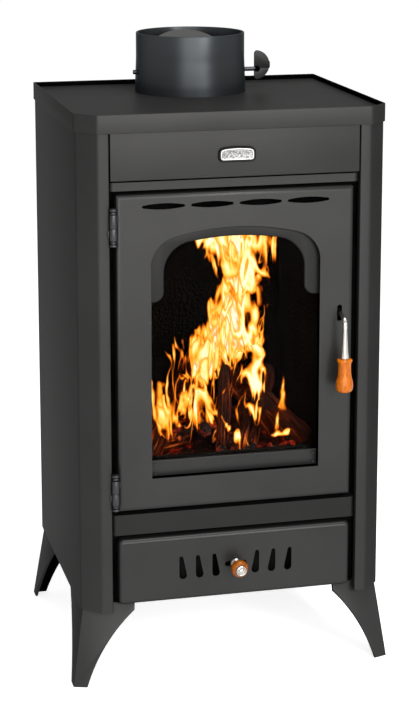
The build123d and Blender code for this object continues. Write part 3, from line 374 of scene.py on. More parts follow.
casing_paint = paint("casing_paint", (0.028, 0.0275, 0.027), (0.035, 0.0345, 0.034), 0.42, 0.5, 0.66, 0.0002)
door_paint = paint("door_paint", (0.029, 0.0285, 0.028), (0.036, 0.0355, 0.035), 0.32, 0.38, 0.66, 0.00012)
hinge_paint = paint("hinge_paint", (0.036, 0.036, 0.038), (0.05, 0.05, 0.052), 0.28, 0.4, 0.85, 0.0001)
# A darker copy of the paint for the window trim and the rail under the door: painted shade of their recesses.
recess_painted_shade = paint("recess_painted_shade", (0.018, 0.0176, 0.0172), (0.023, 0.0226, 0.0222), 0.38, 0.46, 0.7, 0.00015)
flue_paint = paint("flue_paint", (0.033, 0.036, 0.038), (0.042, 0.0455, 0.048), 0.3, 0.38, 0.8, 0.00012)
# A near-black paint: painted shade for what lies in slots, gaps and inner faces out of the light; it also
# makes the dark badge surround and washer.
black_and_painted_shade = paint("black_and_painted_shade", (0.0008, 0.0008, 0.0008), (0.0016, 0.0016, 0.0016), 0.6, 0.8, 0.1, 0.0001)
paints = (casing_paint, door_paint, hinge_paint, recess_painted_shade, flue_paint, black_and_painted_shade)
print("paints", *[finish.name for finish in paints])

# %% [markdown]
# ## Bright metal
# The handle's taper, the knob's ferrule and its cap are chromed, the screws and bolts are zinc plated, and
# the badge is a polished casting. A metal's colour is its reflection, so the detail is in the roughness:
# fine lines of polishing, drawn out along the piece by stretching the coordinates. The handle's rod darkens
# towards the door, its colour following its depth, as painted shade where it runs into the slot.

# %% Metal finishes
def metal(name, colour, smooth, worn, stretch, relief):
    """A bare metal with polishing lines."""
    finish, tree, surface = new_finish(name, Metallic=1.0)
    vector = coordinates(tree, stretch=stretch)
    scratch = use_group(tree, fine_scratch, Vector=vector, Smooth=smooth, Worn=worn)
    darker = tuple(0.82 * part for part in colour)
    tone = spread(tree, noise(tree, vector, 90), 0, 1, 0.35, 0.7)
    tint = blend_colours(tree, tone, darker, colour)
    fill(tree, surface, Base_Color=tint, Roughness=scratch.outputs["Roughness"])
    bump(tree, surface, scratch.outputs["Height"], relief, 0.3)
    return finish


chrome = metal("chrome", (0.44, 0.42, 0.39), 0.1, 0.25, (1, 1, 0.15), 0.00002)
zinc = metal("zinc_plate", (0.55, 0.56, 0.58), 0.25, 0.5, (1, 1, 1), 0.00004)
badge_metal = metal("badge_metal", (0.42, 0.41, 0.4), 0.25, 0.45, (0.3, 1, 1), 0.00004)
print("metals", chrome.name, zinc.name, badge_metal.name)

# %% Rod and badge field
# The rod's colour darkens from the bend towards the door with its depth: painted shade for the part of the
# rod that runs into the handle's slot.
ROD_UNSHADED_Y = -0.178
ROD_PAINTED_SHADE_Y = -0.16
rod_steel_painted_shade, rod_tree, rod_surface = new_finish("rod_steel_painted_shade", Metallic=1.0)
rod_place = add_node(rod_tree, "SeparateXYZ", Vector=coordinates(rod_tree))
rod_shade_share = spread(rod_tree, rod_place.outputs["Y"], 0.0, 1.0, ROD_UNSHADED_Y, ROD_PAINTED_SHADE_Y)
rod_shade_tones = [(0.0, (0.5, 0.48, 0.45)), (0.5, (0.1, 0.085, 0.075)), (1.0, (0.004, 0.0035, 0.003))]
fill(rod_tree, rod_surface, Base_Color=ramp(rod_tree, rod_shade_share, rod_shade_tones))
fill(rod_tree, rod_surface, Roughness=spread(rod_tree, rod_shade_share, 0.15, 0.7))

badge_field, field_tree, field_surface = new_finish("badge_field", Metallic=1.0)
pebbles = cells(field_tree, coordinates(field_tree), 420)
pebble_tones = [(0.1, (0.3, 0.295, 0.29)), (0.45, (0.22, 0.215, 0.21)), (0.7, (0.12, 0.118, 0.115))]
fill(field_tree, field_surface, Base_Color=ramp(field_tree, pebbles, pebble_tones))
fill(field_tree, field_surface, Roughness=spread(field_tree, pebbles, 0.4, 0.55))
bump(field_tree, field_surface, pebbles, 0.0006, 0.6)
print("metals", rod_steel_painted_shade.name, badge_field.name)

# %% [markdown]
# ## Lacquered wood
# The grip and the knob are turned from a reddish wood under a thick clear lacquer. Rings of grain run along
# the turning axis, so the noise is stretched along it and bent a little. The lacquer is the surface's coat.

# %% Wood finish
def turned_wood(name, stretch, shade):
    """Wood whose grain runs along the axis with the smallest stretch; shade makes it paler or darker."""
    lacquer = {"Coat_Weight": 0.6, "Coat_Roughness": 0.03, "Coat_IOR": 1.42}
    finish, tree, surface = new_finish(name, Specular_IOR_Level=0.0, **lacquer)
    vector = coordinates(tree, stretch=stretch)
    rings = noise(tree, vector, 260, 5.0, 0.6, 0.8)
    pores = noise(tree, vector, 1400, 2.0, 0.5)
    tone = combine(tree, "ADD", combine(tree, "MULTIPLY", pores, 0.3), rings)
    grain = [(0.4, (0.22, 0.036, 0.0005)), (0.62, (0.5, 0.115, 0.001)), (0.85, (0.68, 0.19, 0.003))]
    grain = [(place, tuple(shade * part for part in colour)) for place, colour in grain]
    fill(tree, surface, Base_Color=ramp(tree, tone, grain), Roughness=spread(tree, rings, 0.28, 0.42))
    bump(tree, surface, pores, 0.00005, 0.3)
    return finish


grip_wood = turned_wood("grip_wood", (1, 1, 0.12), 0.88)
knob_wood = turned_wood("knob_wood", (1, 0.2, 1), 0.44)
print("wood", grip_wood.name, knob_wood.name)

# %% [markdown]
# ## Inside the firebox
# Everything behind the glass is sooted: steel walls, vermiculite boards, the cast grate. One soot group
# covers them with its own clean colour and its own share of bare patches. The boards add the flakes that
# vermiculite is pressed from, and the casting a coarse grain.

# %% Firebox finishes
def sooted(name, clean, soot, patch, relief, flakes=0):
    """A surface under soot; flakes are cells per metre."""
    finish, tree, surface = new_finish(name, Specular_IOR_Level=0.02)
    vector = coordinates(tree)
    coat = use_group(tree, soot_coat, Vector=vector, Clean=(*clean, 1), Soot=(*soot, 1), Patch=patch)
    colour = coat.outputs["Colour"]
    height = coat.outputs["Height"]
    if flakes:
        chips = cells(tree, vector, flakes)
        darker = tuple(0.4 * part for part in clean)
        colour = blend_colours(tree, spread(tree, chips, 0.0, 0.5), colour, darker)
        height = combine(tree, "ADD", height, chips)
    fill(tree, surface, Base_Color=colour, Roughness=coat.outputs["Roughness"])
    bump(tree, surface, height, relief, 0.6)
    return finish


firebox_steel = sooted("firebox_steel", (0.005, 0.0048, 0.0046), (0.001, 0.001, 0.001), 0.5, 0.0002)
firebrick = sooted("firebrick", (0.004, 0.003, 0.0025), (0.0008, 0.0007, 0.0006), 0.6, 0.0006, 260)
cast_iron = sooted("cast_iron", (0.014, 0.0135, 0.013), (0.003, 0.003, 0.003), 0.45, 0.0006, 700)
drawer_steel = sooted("drawer_steel", (0.02, 0.02, 0.02), (0.004, 0.004, 0.004), 0.4, 0.0002)
print("firebox", firebox_steel.name, firebrick.name, cast_iron.name, drawer_steel.name)

# %% [markdown]
# ## Seal rope and glass
# The door closes on a knitted glass rope, whose slanting stitches are two crossed bands of waves. The glass
# is a clear ceramic pane with a faint film of fire haze; only its roughness changes over it, and its low
# index keeps the white room from veiling the dark firebox.

# %% Rope and glass finishes
STITCHES = 90
SLANT = math.radians(45)


def slanted_waves(tree, slant):
    """Bands that run at a slant."""
    vector = coordinates(tree, turn=(0, slant, 0))
    return add_node(tree, "TexWave", Vector=vector, Scale=STITCHES, Distortion=0.6).outputs["Fac"]


seal_rope, rope_tree, rope_surface = new_finish("seal_rope", Specular_IOR_Level=0.1, Sheen_Weight=0.2)
stitch = combine(rope_tree, "MAXIMUM", slanted_waves(rope_tree, SLANT), slanted_waves(rope_tree, -SLANT))
fuzz = noise(rope_tree, coordinates(rope_tree), 900)
rope_colours = [(0.2, (0.06, 0.058, 0.055)), (0.6, (0.16, 0.155, 0.15)), (0.9, (0.26, 0.25, 0.24))]
rope_value = combine(rope_tree, "MULTIPLY", stitch, spread(rope_tree, fuzz, 0.7, 1.2))
fill(rope_tree, rope_surface, Base_Color=ramp(rope_tree, rope_value, rope_colours))
fill(rope_tree, rope_surface, Roughness=spread(rope_tree, fuzz, 0.8, 1.0))
bump(rope_tree, rope_surface, stitch, 0.0006, 0.8)

stove_glass, glass_tree, glass_surface = new_finish("stove_glass", Transmission_Weight=1.0, IOR=1.05)
haze = noise(glass_tree, coordinates(glass_tree), 14, 5.0, 0.6)
fill(glass_tree, glass_surface, Roughness=spread(glass_tree, haze, 0.0, 0.03, 0.5, 0.8))
glass_tint = [(0.3, (0.97, 0.97, 0.97)), (0.8, (1.0, 0.99, 0.97))]
fill(glass_tree, glass_surface, Base_Color=ramp(glass_tree, haze, glass_tint))
print("rope and glass", seal_rope.name, stove_glass.name)

# %% [markdown]
# ## Dressing the measured parts
# The record says which finish each part has, so the parts are dressed by that name. A few have a finish of
# their own: the ash pan is cleaner than the firebox; what lies in the slots and gaps is painted near black as
# painted shade, the window trim and the rail under the door are painted darker as painted shade of their
# recesses, and the handle's rod darkens towards the door as painted shade.

# %% Finishes by slot
finish_of_slot = {
    "stove_paint": casing_paint,
    "door_paint": door_paint,
    "firebox_steel": firebox_steel,
    "zinc_steel": zinc,
    "chrome": chrome,
    "lacquered_wood": grip_wood,
    "firebrick": firebrick,
    "cast_iron": cast_iron,
    "seal_rope": seal_rope,
    "stove_glass": stove_glass,
    "badge_metal": badge_metal,
}
own_finish = {
    "ash_box": drawer_steel,
    # The shutter plate, the handle's ears and pin sit in slots and get the near-black paint as painted shade;
    # the trim and the rail get the darker paint as painted shade of their recesses; the rod's finish paints
    # shade towards the door.
    "shutter_plate": black_and_painted_shade,
    "shutter_guides": drawer_steel,
    "wooden_knob": knob_wood,
    "window_trim": recess_painted_shade,
    "middle_rail": recess_painted_shade,
    "handle_rod": rod_steel_painted_shade,
    "handle_ears": black_and_painted_shade,
    "handle_pin": black_and_painted_shade,
    "damper_spindle": hinge_paint,
}
slot_of_node = {part["node"]: part["material_slot"] for part in frame["record"]["subparts"]}
for node_name, node in frame["nodes"].items():
    finish = own_finish.get(node_name, finish_of_slot[slot_of_node[node_name]])
    node.data.materials.clear()
    node.data.materials.append(finish)
print("dressed", len(slot_of_node), "measured parts")

# %% [markdown]
# ## Softened edges
# A folded or cast part never has a razor edge: its corners catch a thin line of light. A copy of the
# measured part is merged, its flat faces are joined, and a small bevel rounds every sharp edge. The copy
# then stands for the measured part, which stays underneath for the physics.

# %% Handing a piece over
def apply_moves():
    """Writes the place, the turn and the size of the selected piece into its mesh."""
    bpy.ops.object.transform_apply(location=True, rotation=True, scale=True)


def use_modifier(kind, **settings):
    """Adds a modifier to the active piece and applies it."""
    modifier = bpy.context.object.modifiers.new(kind.title(), kind)
    for setting, value in settings.items():
        setattr(modifier, setting, value)
    bpy.ops.object.modifier_apply(modifier=modifier.name)


def hand_over(name, body, finish, nodes=(), smooth=35):
    """Names the active piece, dresses it and gives it to its body."""
    if bpy.context.object.mode != "OBJECT":
        bpy.ops.object.mode_set(mode="OBJECT")
    piece = bpy.context.object
    apply_moves()
    bpy.ops.object.shade_smooth_by_angle(angle=math.radians(smooth))
    piece.name = name
    piece.data.name = name
    if finish:
        piece.data.materials.clear()
        piece.data.materials.append(finish)
    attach(piece, body)
    if nodes:
        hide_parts(*nodes)
    print(name, len(piece.data.polygons), "faces on", body)
    return piece


def copy_mesh(name, mesh):
    """A new piece with its own copy of a mesh, selected and active."""
    start_clean()
    copy = bpy.data.objects.new(name, mesh.copy())
    bpy.context.scene.collection.objects.link(copy)
    copy.select_set(True)
    bpy.context.view_layer.objects.active = copy
    return copy


print("piece helpers ready")

# %% Softened copies
MERGE_REACH = 0.00001
bodies = frame["record"]["behaviour"]["bodies"]
body_of_node = {node: body for body, members in bodies.items() for node in members}


def merged_copy(node):
    """A copy of a measured part in edit mode, its corners merged and its flat faces joined."""
    copy_mesh(node + "_copy", frame["nodes"][node].data)
    bpy.ops.object.mode_set(mode="EDIT")
    bpy.ops.mesh.select_mode(type="VERT")
    bpy.ops.mesh.select_all(action="SELECT")
    bpy.ops.mesh.remove_doubles(threshold=MERGE_REACH)
    bpy.ops.mesh.dissolve_limited(angle_limit=math.radians(1))


def round_edges(width, segments, angle=35):
    """Bevels the edges of the active piece that are sharper than an angle."""
    bpy.ops.object.mode_set(mode="OBJECT")
    limit = math.radians(angle)
    use_modifier("BEVEL", width=width, segments=segments, limit_method="ANGLE", angle_limit=limit)


def soften(node, width, segments):
    """A copy of a measured part with rounded edges, which replaces it."""
    merged_copy(node)
    round_edges(width, segments)
    slot = slot_of_node[node]
    finish = own_finish.get(node, finish_of_slot[slot])
    return hand_over(node + "_soft", body_of_node[node], finish, [node])


LEGS = ("leg_front_left", "leg_front_right", "leg_rear_left", "leg_rear_right")
softened = {
    0.0007: LEGS,
    0.0005: ("glass_sill",),
    0.0004: ("damper_flag",),
    0.0025: ("side_brick_left", "side_brick_right", "back_brick", "baffle_plate"),
    0.0012: ("fire_grate", "log_guard"),
    0.0018: ("door_seal",),
}
for width, node_names in softened.items():
    for node_name in node_names:
        soften(node_name, width, 3)

# %% [markdown]
# ## Pressed fronts
# The door and the drawer are pressed over a form, so their outer edge is rounder than a cut edge and shows
# a band of light along the top. A block with a rounded front trims a copy of the measured part, which keeps
# the slots and the window clean; a narrow inset then keeps the flat middle flat when it is shaded smooth.
# Round the window that narrow line is painted near black, a line of painted shade along the cut edge. The
# window trim is pressed too, and painted darker as painted shade of its recess. The fascia is narrowed and
# the strip under it is cut short, because the photograph shows a thin dark seam round the one and over the
# other. Both strips roll back at their ends.

# %% Selecting by a test
def select_edges(test):
    """Selects the edges of the mesh being edited whose two ends pass a test."""
    bpy.ops.mesh.select_mode(type="EDGE")
    mesh = bmesh.from_edit_mesh(bpy.context.object.data)
    for edge in mesh.edges:
        edge.select_set(test(edge.verts[0].co, edge.verts[1].co))
    bmesh.update_edit_mesh(bpy.context.object.data)


def select_faces(test):
    """Selects the faces of the mesh being edited that pass a test."""
    mesh = bmesh.from_edit_mesh(bpy.context.object.data)
    mesh.normal_update()
    for face in mesh.faces:
        face.select_set(test(face))
    bmesh.update_edit_mesh(bpy.context.object.data)


def select_corners(test):
    """Selects the corners of the mesh being edited whose place passes a test."""
    mesh = bmesh.from_edit_mesh(bpy.context.object.data)
    for vertex in mesh.verts:
        vertex.select_set(test(vertex.co))
    bmesh.update_edit_mesh(bpy.context.object.data)


def dress_selected(index):
    """Gives the selected faces one of the piece's finishes."""
    bpy.context.object.active_material_index = index
    bpy.ops.object.material_slot_assign()


print("selection helpers ready")

# %% Trimming by a rounded block
EDGE_LINE = 0.0003
TOUCH = 0.0001
BLOCK_EXTRA = 0.002
ROUND_STEPS = 6


def middle_of(node):
    """The middle of a measured part's box."""
    return [(low + high) / 2 for low, high in zip(*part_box(node))]


def trimmed_copy(node, rounds):
    """A copy of a flat part, trimmed by a block; rounds pairs kinds of its edges with their rounding."""
    low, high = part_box(node)
    middle = middle_of(node)
    kinds = {
        "corners": lambda a, b: abs(a.y - b.y) > TOUCH,
        "outline": lambda a, b: max(a.y, b.y) - low[1] < TOUCH,
        "ends": lambda a, b: max(a.y, b.y) - low[1] < TOUCH and abs(a.z - b.z) > TOUCH,
    }
    start_clean()
    bpy.ops.mesh.primitive_cube_add(size=1, location=(middle[0], middle[1] + BLOCK_EXTRA / 2, middle[2]))
    block = bpy.context.object
    block.scale = (high[0] - low[0], high[1] - low[1] + BLOCK_EXTRA, high[2] - low[2])
    apply_moves()
    bpy.ops.object.mode_set(mode="EDIT")
    for kind, width in rounds:
        select_edges(kinds[kind])
        bpy.ops.mesh.bevel(offset=width, segments=ROUND_STEPS, affect="EDGES")
    merged_copy(node)
    bpy.ops.object.mode_set(mode="OBJECT")
    use_modifier("BOOLEAN", object=block, operation="INTERSECT", solver="EXACT")
    bpy.data.objects.remove(block)
    bpy.ops.object.mode_set(mode="EDIT")
    bpy.ops.mesh.select_mode(type="FACE")
    select_faces(lambda face: face.normal.y < -0.999)
    bpy.ops.mesh.inset(thickness=EDGE_LINE)


print("trimming helper ready")

# %% Door and drawer fronts
FRONT_ROUND = 0.0055
DRAWER_CORNER = 0.006
trim_low, trim_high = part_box("window_trim")
sill_low, sill_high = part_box("glass_sill")
front_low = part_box("door_panel")[0]
WINDOW_MARGIN = 0.001
SHEET_DEPTH = 0.004


def by_window(place):
    """True for places at the cut edge of the window."""
    beside = abs(place.x) < trim_high[0] + WINDOW_MARGIN
    level = sill_low[2] - 2 * WINDOW_MARGIN < place.z < trim_high[2] + WINDOW_MARGIN
    return beside and level and place.y < front_low[1] + SHEET_DEPTH


def in_window_shade_line(face):
    """True for the narrow faces round the window, on the door's front and in the cut edge of its sheet."""
    narrow = face.calc_area() < 0.1 * EDGE_LINE + 0.002 * (face.normal.y > -0.9)
    return narrow and all(by_window(vertex.co) for vertex in face.verts)


def pressed_front(node, rounds):
    """A pressed front, with a line of painted shade round its window if it has one."""
    trimmed_copy(node, rounds)
    slot = slot_of_node[node]
    bpy.context.object.data.materials.clear()
    bpy.context.object.data.materials.append(finish_of_slot[slot])
    bpy.context.object.data.materials.append(black_and_painted_shade)
    # The narrow faces round the window get the near-black paint: a painted shade line along the cut edge.
    select_faces(in_window_shade_line)
    dress_selected(1)
    hand_over(node + "_pressed", body_of_node[node], None, [node])


pressed_front("door_panel", [("outline", FRONT_ROUND)])
pressed_front("drawer_front", [("corners", DRAWER_CORNER), ("outline", FRONT_ROUND)])

# %% Window trim
TRIM_ROUND = 0.002
merged_copy("window_trim")
select_edges(lambda a, b: max(a.y, b.y) - trim_low[1] < TOUCH)
bpy.ops.mesh.bevel(offset=TRIM_ROUND, segments=4, affect="EDGES")
bpy.ops.mesh.select_mode(type="VERT")
hand_over("window_trim_pressed", "door", recess_painted_shade, ["window_trim"])

# %% Fascia and the strip under it
SEAM = 0.0012
fascia_low, fascia_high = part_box("fascia_panel")
merged_copy("fascia_panel")
fascia_width = fascia_high[0] - fascia_low[0]
bpy.ops.mesh.select_all(action="SELECT")
bpy.ops.transform.resize(value=((fascia_width - 2 * SEAM) / fascia_width, 1, 1), center_override=(0, 0, 0))
round_edges(0.0006, 3)
hand_over("fascia_panel_soft", "stove", casing_paint, ["fascia_panel"])

ROLLED_END = 0.006
strip_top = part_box("head_rail")[1][2]
trimmed_copy("head_rail", [("ends", ROLLED_END)])
bpy.ops.mesh.select_mode(type="VERT")
select_corners(lambda place: strip_top - place.z < TOUCH)
bpy.ops.transform.translate(value=(0, 0, fascia_low[2] - 2 * SEAM - strip_top))
hand_over("head_strip", "stove", casing_paint, ["head_rail"])
trimmed_copy("middle_rail", [("ends", ROLLED_END)])
hand_over("middle_strip", "stove", recess_painted_shade, ["middle_rail"])

# %% [markdown]
# ## Folded sides
# Each side of the casing is one sheet, folded at the front into a slanting corner, a flange beside the door
# and a narrow lip. Drawing the fold line seen from above and rounding its corners gives true bend radii;
# the line is then pulled up into a wall and given the thickness of the sheet.

# %% Line drawing by extrusion
def draw_line(points, closed=False):
    """A new mesh in edit mode: one corner, extruded from point to point."""
    start_clean()
    bpy.ops.mesh.primitive_plane_add(size=0.001, location=points[0])
    apply_moves()
    bpy.ops.object.mode_set(mode="EDIT")
    bpy.ops.mesh.select_mode(type="VERT")
    bpy.ops.mesh.select_all(action="SELECT")
    bpy.ops.mesh.merge(type="CENTER")
    for before, after in zip(points, points[1:]):
        move = tuple(b - a for a, b in zip(before, after))
        bpy.ops.mesh.extrude_vertices_move(TRANSFORM_OT_translate={"value": move})
    if closed:
        select_near([points[0], points[-1]])
        bpy.ops.mesh.edge_face_add()


def select_near(places, reach=0.00002):
    """Selects the corners of the mesh being edited that are at the given places."""
    mesh = bmesh.from_edit_mesh(bpy.context.object.data)
    for vertex in mesh.verts:
        vertex.select = any((vertex.co - Vector(place)).length < reach for place in places)
    mesh.select_flush_mode()
    bmesh.update_edit_mesh(bpy.context.object.data)


def round_corner(place, setback, segments=5):
    """Rounds one corner of a drawn line."""
    select_near([place])
    bpy.ops.mesh.bevel(offset_type="OFFSET", offset=setback, segments=segments, affect="VERTICES")


def pull(move):
    """Extrudes everything drawn so far by one move."""
    bpy.ops.mesh.select_all(action="SELECT")
    bpy.ops.mesh.extrude_region_move(TRANSFORM_OT_translate={"value": move})


def face_outwards(place, outward):
    """Turns the sheet over if its face nearest to a place doesn't look the given way."""
    bpy.ops.mesh.select_all(action="SELECT")
    bpy.ops.mesh.normals_make_consistent(inside=False)
    mesh = bmesh.from_edit_mesh(bpy.context.object.data)
    mesh.normal_update()
    nearest = min(mesh.faces, key=lambda face: (face.calc_center_median() - Vector(place)).length)
    if nearest.normal.dot(Vector(outward)) < 0:
        bpy.ops.mesh.flip_normals()


print("line helpers ready")

# %% Casing sides
SHEET = 0.002
SIDE_BEND = 0.0035
CORNER_BEND = 0.7 * SIDE_BEND
LIP_BEND = 0.0015
panel_low, panel_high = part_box("casing_left")
half_width = -panel_low[0]
front_y = panel_low[1]
rear_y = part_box("casing_back")[0][1]
flange_x = -panel_high[0]
CORNER_CUT = 0.024
FLANGE_LIP = 0.01
REAR_LIP = 0.014
rear_lip_x = half_width - SHEET - REAR_LIP


def folded_side(side):
    """One side sheet of the casing, drawn from the lip beside the door to the lip at the back."""
    bottom = panel_low[2]
    line = [
        (side * flange_x, front_y + FLANGE_LIP, bottom),
        (side * flange_x, front_y, bottom),
        (side * (half_width - CORNER_CUT), front_y, bottom),
        (side * half_width, front_y + CORNER_CUT, bottom),
        (side * half_width, rear_y, bottom),
        (side * rear_lip_x, rear_y, bottom),
    ]
    draw_line(line)
    for corner, bend in zip(line[1:5], (LIP_BEND, CORNER_BEND, CORNER_BEND, SIDE_BEND)):
        round_corner(corner, bend)
    pull((0, 0, panel_high[2] - bottom))
    face_outwards((side * half_width, 0, 0.4), (side, 0, 0))
    bpy.ops.object.mode_set(mode="OBJECT")
    use_modifier("SOLIDIFY", thickness=SHEET, offset=-1)
    round_edges(0.0003, 1, 60)


for side, name in ((-1, "left"), (1, "right")):
    folded_side(side)
    hand_over("folded_side_" + name, "stove", casing_paint, ["casing_" + name])

# %% [markdown]
# ## The rim of the tray
# A strip of sheet stands round the top and makes a shallow tray. It is bent round the same corners as the
# casing, a sheet's thickness further out, and its top edge is rubbed round. A closed line, pulled up and
# thickened, makes it in one go. Its inner side is out of the light, so it is painted near black as painted
# shade. The insides of the legs get the same painted shade, and the same test of faces finds them.

# %% Tray rim
rim_low, rim_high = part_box("top_rim")
rim_half = rim_high[0]
RIM_REAR_BEND = 0.003
RIM_FRONT_BEND = 0.0024
corner_run = CORNER_CUT + SHEET - SHEET * math.tan(math.radians(22.5))
rim_line = [
    (-rim_half, rim_high[1], rim_low[2]),
    (-rim_half, rim_low[1] + corner_run, rim_low[2]),
    (-rim_half + corner_run, rim_low[1], rim_low[2]),
    (rim_half - corner_run, rim_low[1], rim_low[2]),
    (rim_half, rim_low[1] + corner_run, rim_low[2]),
    (rim_half, rim_high[1], rim_low[2]),
]
draw_line(rim_line, closed=True)
for corner in rim_line:
    round_corner(corner, RIM_REAR_BEND if corner[1] > 0 else RIM_FRONT_BEND)
pull((0, 0, rim_high[2] - rim_low[2]))
face_outwards((-rim_half, 0, rim_low[2]), (-1, 0, 0))
bpy.ops.object.mode_set(mode="OBJECT")
use_modifier("SOLIDIFY", thickness=SHEET, offset=-1)
round_edges(0.0007, 3, 60)
bpy.context.object.data.materials.append(casing_paint)
bpy.context.object.data.materials.append(black_and_painted_shade)
bpy.ops.object.mode_set(mode="EDIT")
bpy.ops.mesh.select_mode(type="FACE")
rim_middle = Vector((0, (rim_low[1] + rim_high[1]) / 2, 0))


def looks_inwards(face):
    """True for the upright faces on the tray's side."""
    middle = face.calc_center_median()
    return abs(face.normal.z) < 0.3 and face.normal.dot(rim_middle - Vector((middle.x, middle.y, 0))) > 0


# The rim's inner faces get the near-black paint as painted shade.
select_faces(looks_inwards)
dress_selected(1)
hand_over("tray_rim", "stove", None, ["top_rim"])

# %% Insides of the legs
# The legs' inner faces get the near-black paint as painted shade.
for node_name in LEGS:
    start_clean()
    leg = bpy.data.objects[node_name + "_soft"]
    leg.select_set(True)
    bpy.context.view_layer.objects.active = leg
    leg.data.materials.append(black_and_painted_shade)
    bpy.ops.object.mode_set(mode="EDIT")
    bpy.ops.mesh.select_mode(type="FACE")
    select_faces(looks_inwards)
    dress_selected(1)
    bpy.ops.object.mode_set(mode="OBJECT")
print("dark insides on", len(LEGS), "legs")

# %% [markdown]
# ## Turned pieces
# Anything round about an axis is easiest as an outline that is spun: the flue collar, the hinge barrels
# with their beaded caps, the handle's taper and grip, the knob. The outline is drawn as a line of corners,
# the corners that should be soft are rounded, and the line is spun once round and closed.

# %% Spinning an outline
def turn_outline(centre, axis, outline, rounds=None, steps=64):
    """Spins an outline of radius and height pairs about an axis, and leaves a closed mesh in edit mode."""
    axis = Vector(axis)
    across = Vector((1, 0, 0)) if abs(axis.x) < 0.5 else Vector((0, 0, 1))
    places = [tuple(Vector(centre) + across * radius + axis * height) for radius, height in outline]
    draw_line(places)
    for index, setback in (rounds or {}).items():
        round_corner(places[index], setback, 4)
    bpy.ops.mesh.select_all(action="SELECT")
    bpy.ops.mesh.spin(steps=steps, angle=math.tau, center=centre, axis=tuple(axis))
    bpy.ops.mesh.select_all(action="SELECT")
    bpy.ops.mesh.remove_doubles(threshold=MERGE_REACH)
    bpy.ops.mesh.normals_make_consistent(inside=False)


def join_pieces(parts):
    """Joins several meshes into the first one."""
    start_clean()
    for part in parts:
        part.select_set(True)
    bpy.context.view_layer.objects.active = parts[0]
    bpy.ops.object.join()
    return bpy.context.object


def scaled(shape, radius, start, length):
    """An outline from shares of a radius and of a length."""
    return [(radius * across, start + length * along) for across, along in shape]


print("turning helpers ready")

# %% Flue collar
collar_low, collar_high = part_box("flue_collar")
collar_centre = (0, middle_of("flue_collar")[1], 0)
COLLAR_RADIUS = collar_high[0]
SPIGOT_RADIUS = 0.0735
COLLAR_WALL = 0.003
COLLAR_FOOT = 0.012
SPIGOT_LENGTH = 0.034
taper_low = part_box("top_plate")[1][2] + COLLAR_FOOT
taper_high = collar_high[2] - SPIGOT_LENGTH
collar_outline = [
    (COLLAR_RADIUS - COLLAR_WALL, collar_low[2]),
    (COLLAR_RADIUS, collar_low[2]),
    (COLLAR_RADIUS, taper_low),
    (SPIGOT_RADIUS, taper_high),
    (SPIGOT_RADIUS, collar_high[2]),
    (SPIGOT_RADIUS - COLLAR_WALL, collar_high[2]),
    (SPIGOT_RADIUS - COLLAR_WALL, taper_high),
    (COLLAR_RADIUS - COLLAR_WALL, taper_low),
    (COLLAR_RADIUS - COLLAR_WALL, collar_low[2]),
]
turn_outline(collar_centre, (0, 0, 1), collar_outline, {2: 0.004, 3: 0.004, 4: 0.001, 5: 0.001}, 128)
hand_over("flue_tube", "stove", flue_paint, ["flue_collar"])

# %% [markdown]
# ## Hinges
# Each hinge is two short tubes welded on, one to the door and one to the casing, with a pin through both
# that ends in a beaded cap. The pin is turned once, from the lower bead to the upper, and copied down to
# the other hinge. The tubes are softened copies, and a run of weld, a wavy outline spun and flattened, sits
# where each one meets the sheet.

# %% Hinge pins
pins_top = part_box("hinge_pins")[1][2]
door_tubes_low, door_tubes_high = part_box("door_knuckles")
casing_tubes_low, casing_tubes_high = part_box("casing_knuckles")
hinge_x, hinge_y = middle_of("hinge_pins")[:2]
TUBE_RADIUS = hinge_y - door_tubes_low[1]
upper_meeting = casing_tubes_high[2]
lower_meeting = door_tubes_low[2]
upper_tube = door_tubes_high[2] - upper_meeting
cap_height = pins_top - door_tubes_high[2]
PIN_RADIUS = 0.0021


def beaded_cap(start, way):
    """Radius and height pairs of a cap, from the tube outwards."""
    neck = [(0.5, 0.0), (0.5, 0.08), (0.84, 0.13), (0.88, 0.24), (0.82, 0.36), (0.48, 0.41)]
    shape = neck + [(0.48, 0.48), (0.96, 0.53), (1.05, 0.66), (1.02, 0.82), (0.76, 0.95), (0.3, 1.0)]
    return scaled(shape, TUBE_RADIUS, start, way * cap_height)


pin_outline = list(reversed(beaded_cap(casing_tubes_low[2], -1))) + [(PIN_RADIUS, casing_tubes_low[2])]
pin_outline += [(PIN_RADIUS, lower_meeting + upper_tube)] + beaded_cap(lower_meeting + upper_tube, 1)
pin_outline = [(0.0, pin_outline[0][1])] + pin_outline + [(0.0, pin_outline[-1][1])]
turn_outline((hinge_x, hinge_y, 0), (0, 0, 1), pin_outline, None, 32)
bpy.ops.object.mode_set(mode="OBJECT")
lower_pin = bpy.context.object


def copy_of(piece, move=(0, 0, 0)):
    """A second mesh like the first, moved."""
    twin = copy_mesh(piece.name, piece.data)
    twin.location = move
    apply_moves()
    return twin


upper_pin = copy_of(lower_pin, (0, 0, upper_meeting - lower_meeting))
join_pieces([lower_pin, upper_pin])
hand_over("hinge_pins_turned", "stove", hinge_paint, ["hinge_pins"])

# %% Hinge tubes and welds
own_finish["door_knuckles"] = hinge_paint
own_finish["casing_knuckles"] = hinge_paint
soften("door_knuckles", 0.0005, 2)
soften("casing_knuckles", 0.0005, 2)
WELD_RADIUS = 0.0028
WELD_LENGTH = 0.011
WELD_PROUD = 0.0002
WELD_RIPPLES = 6


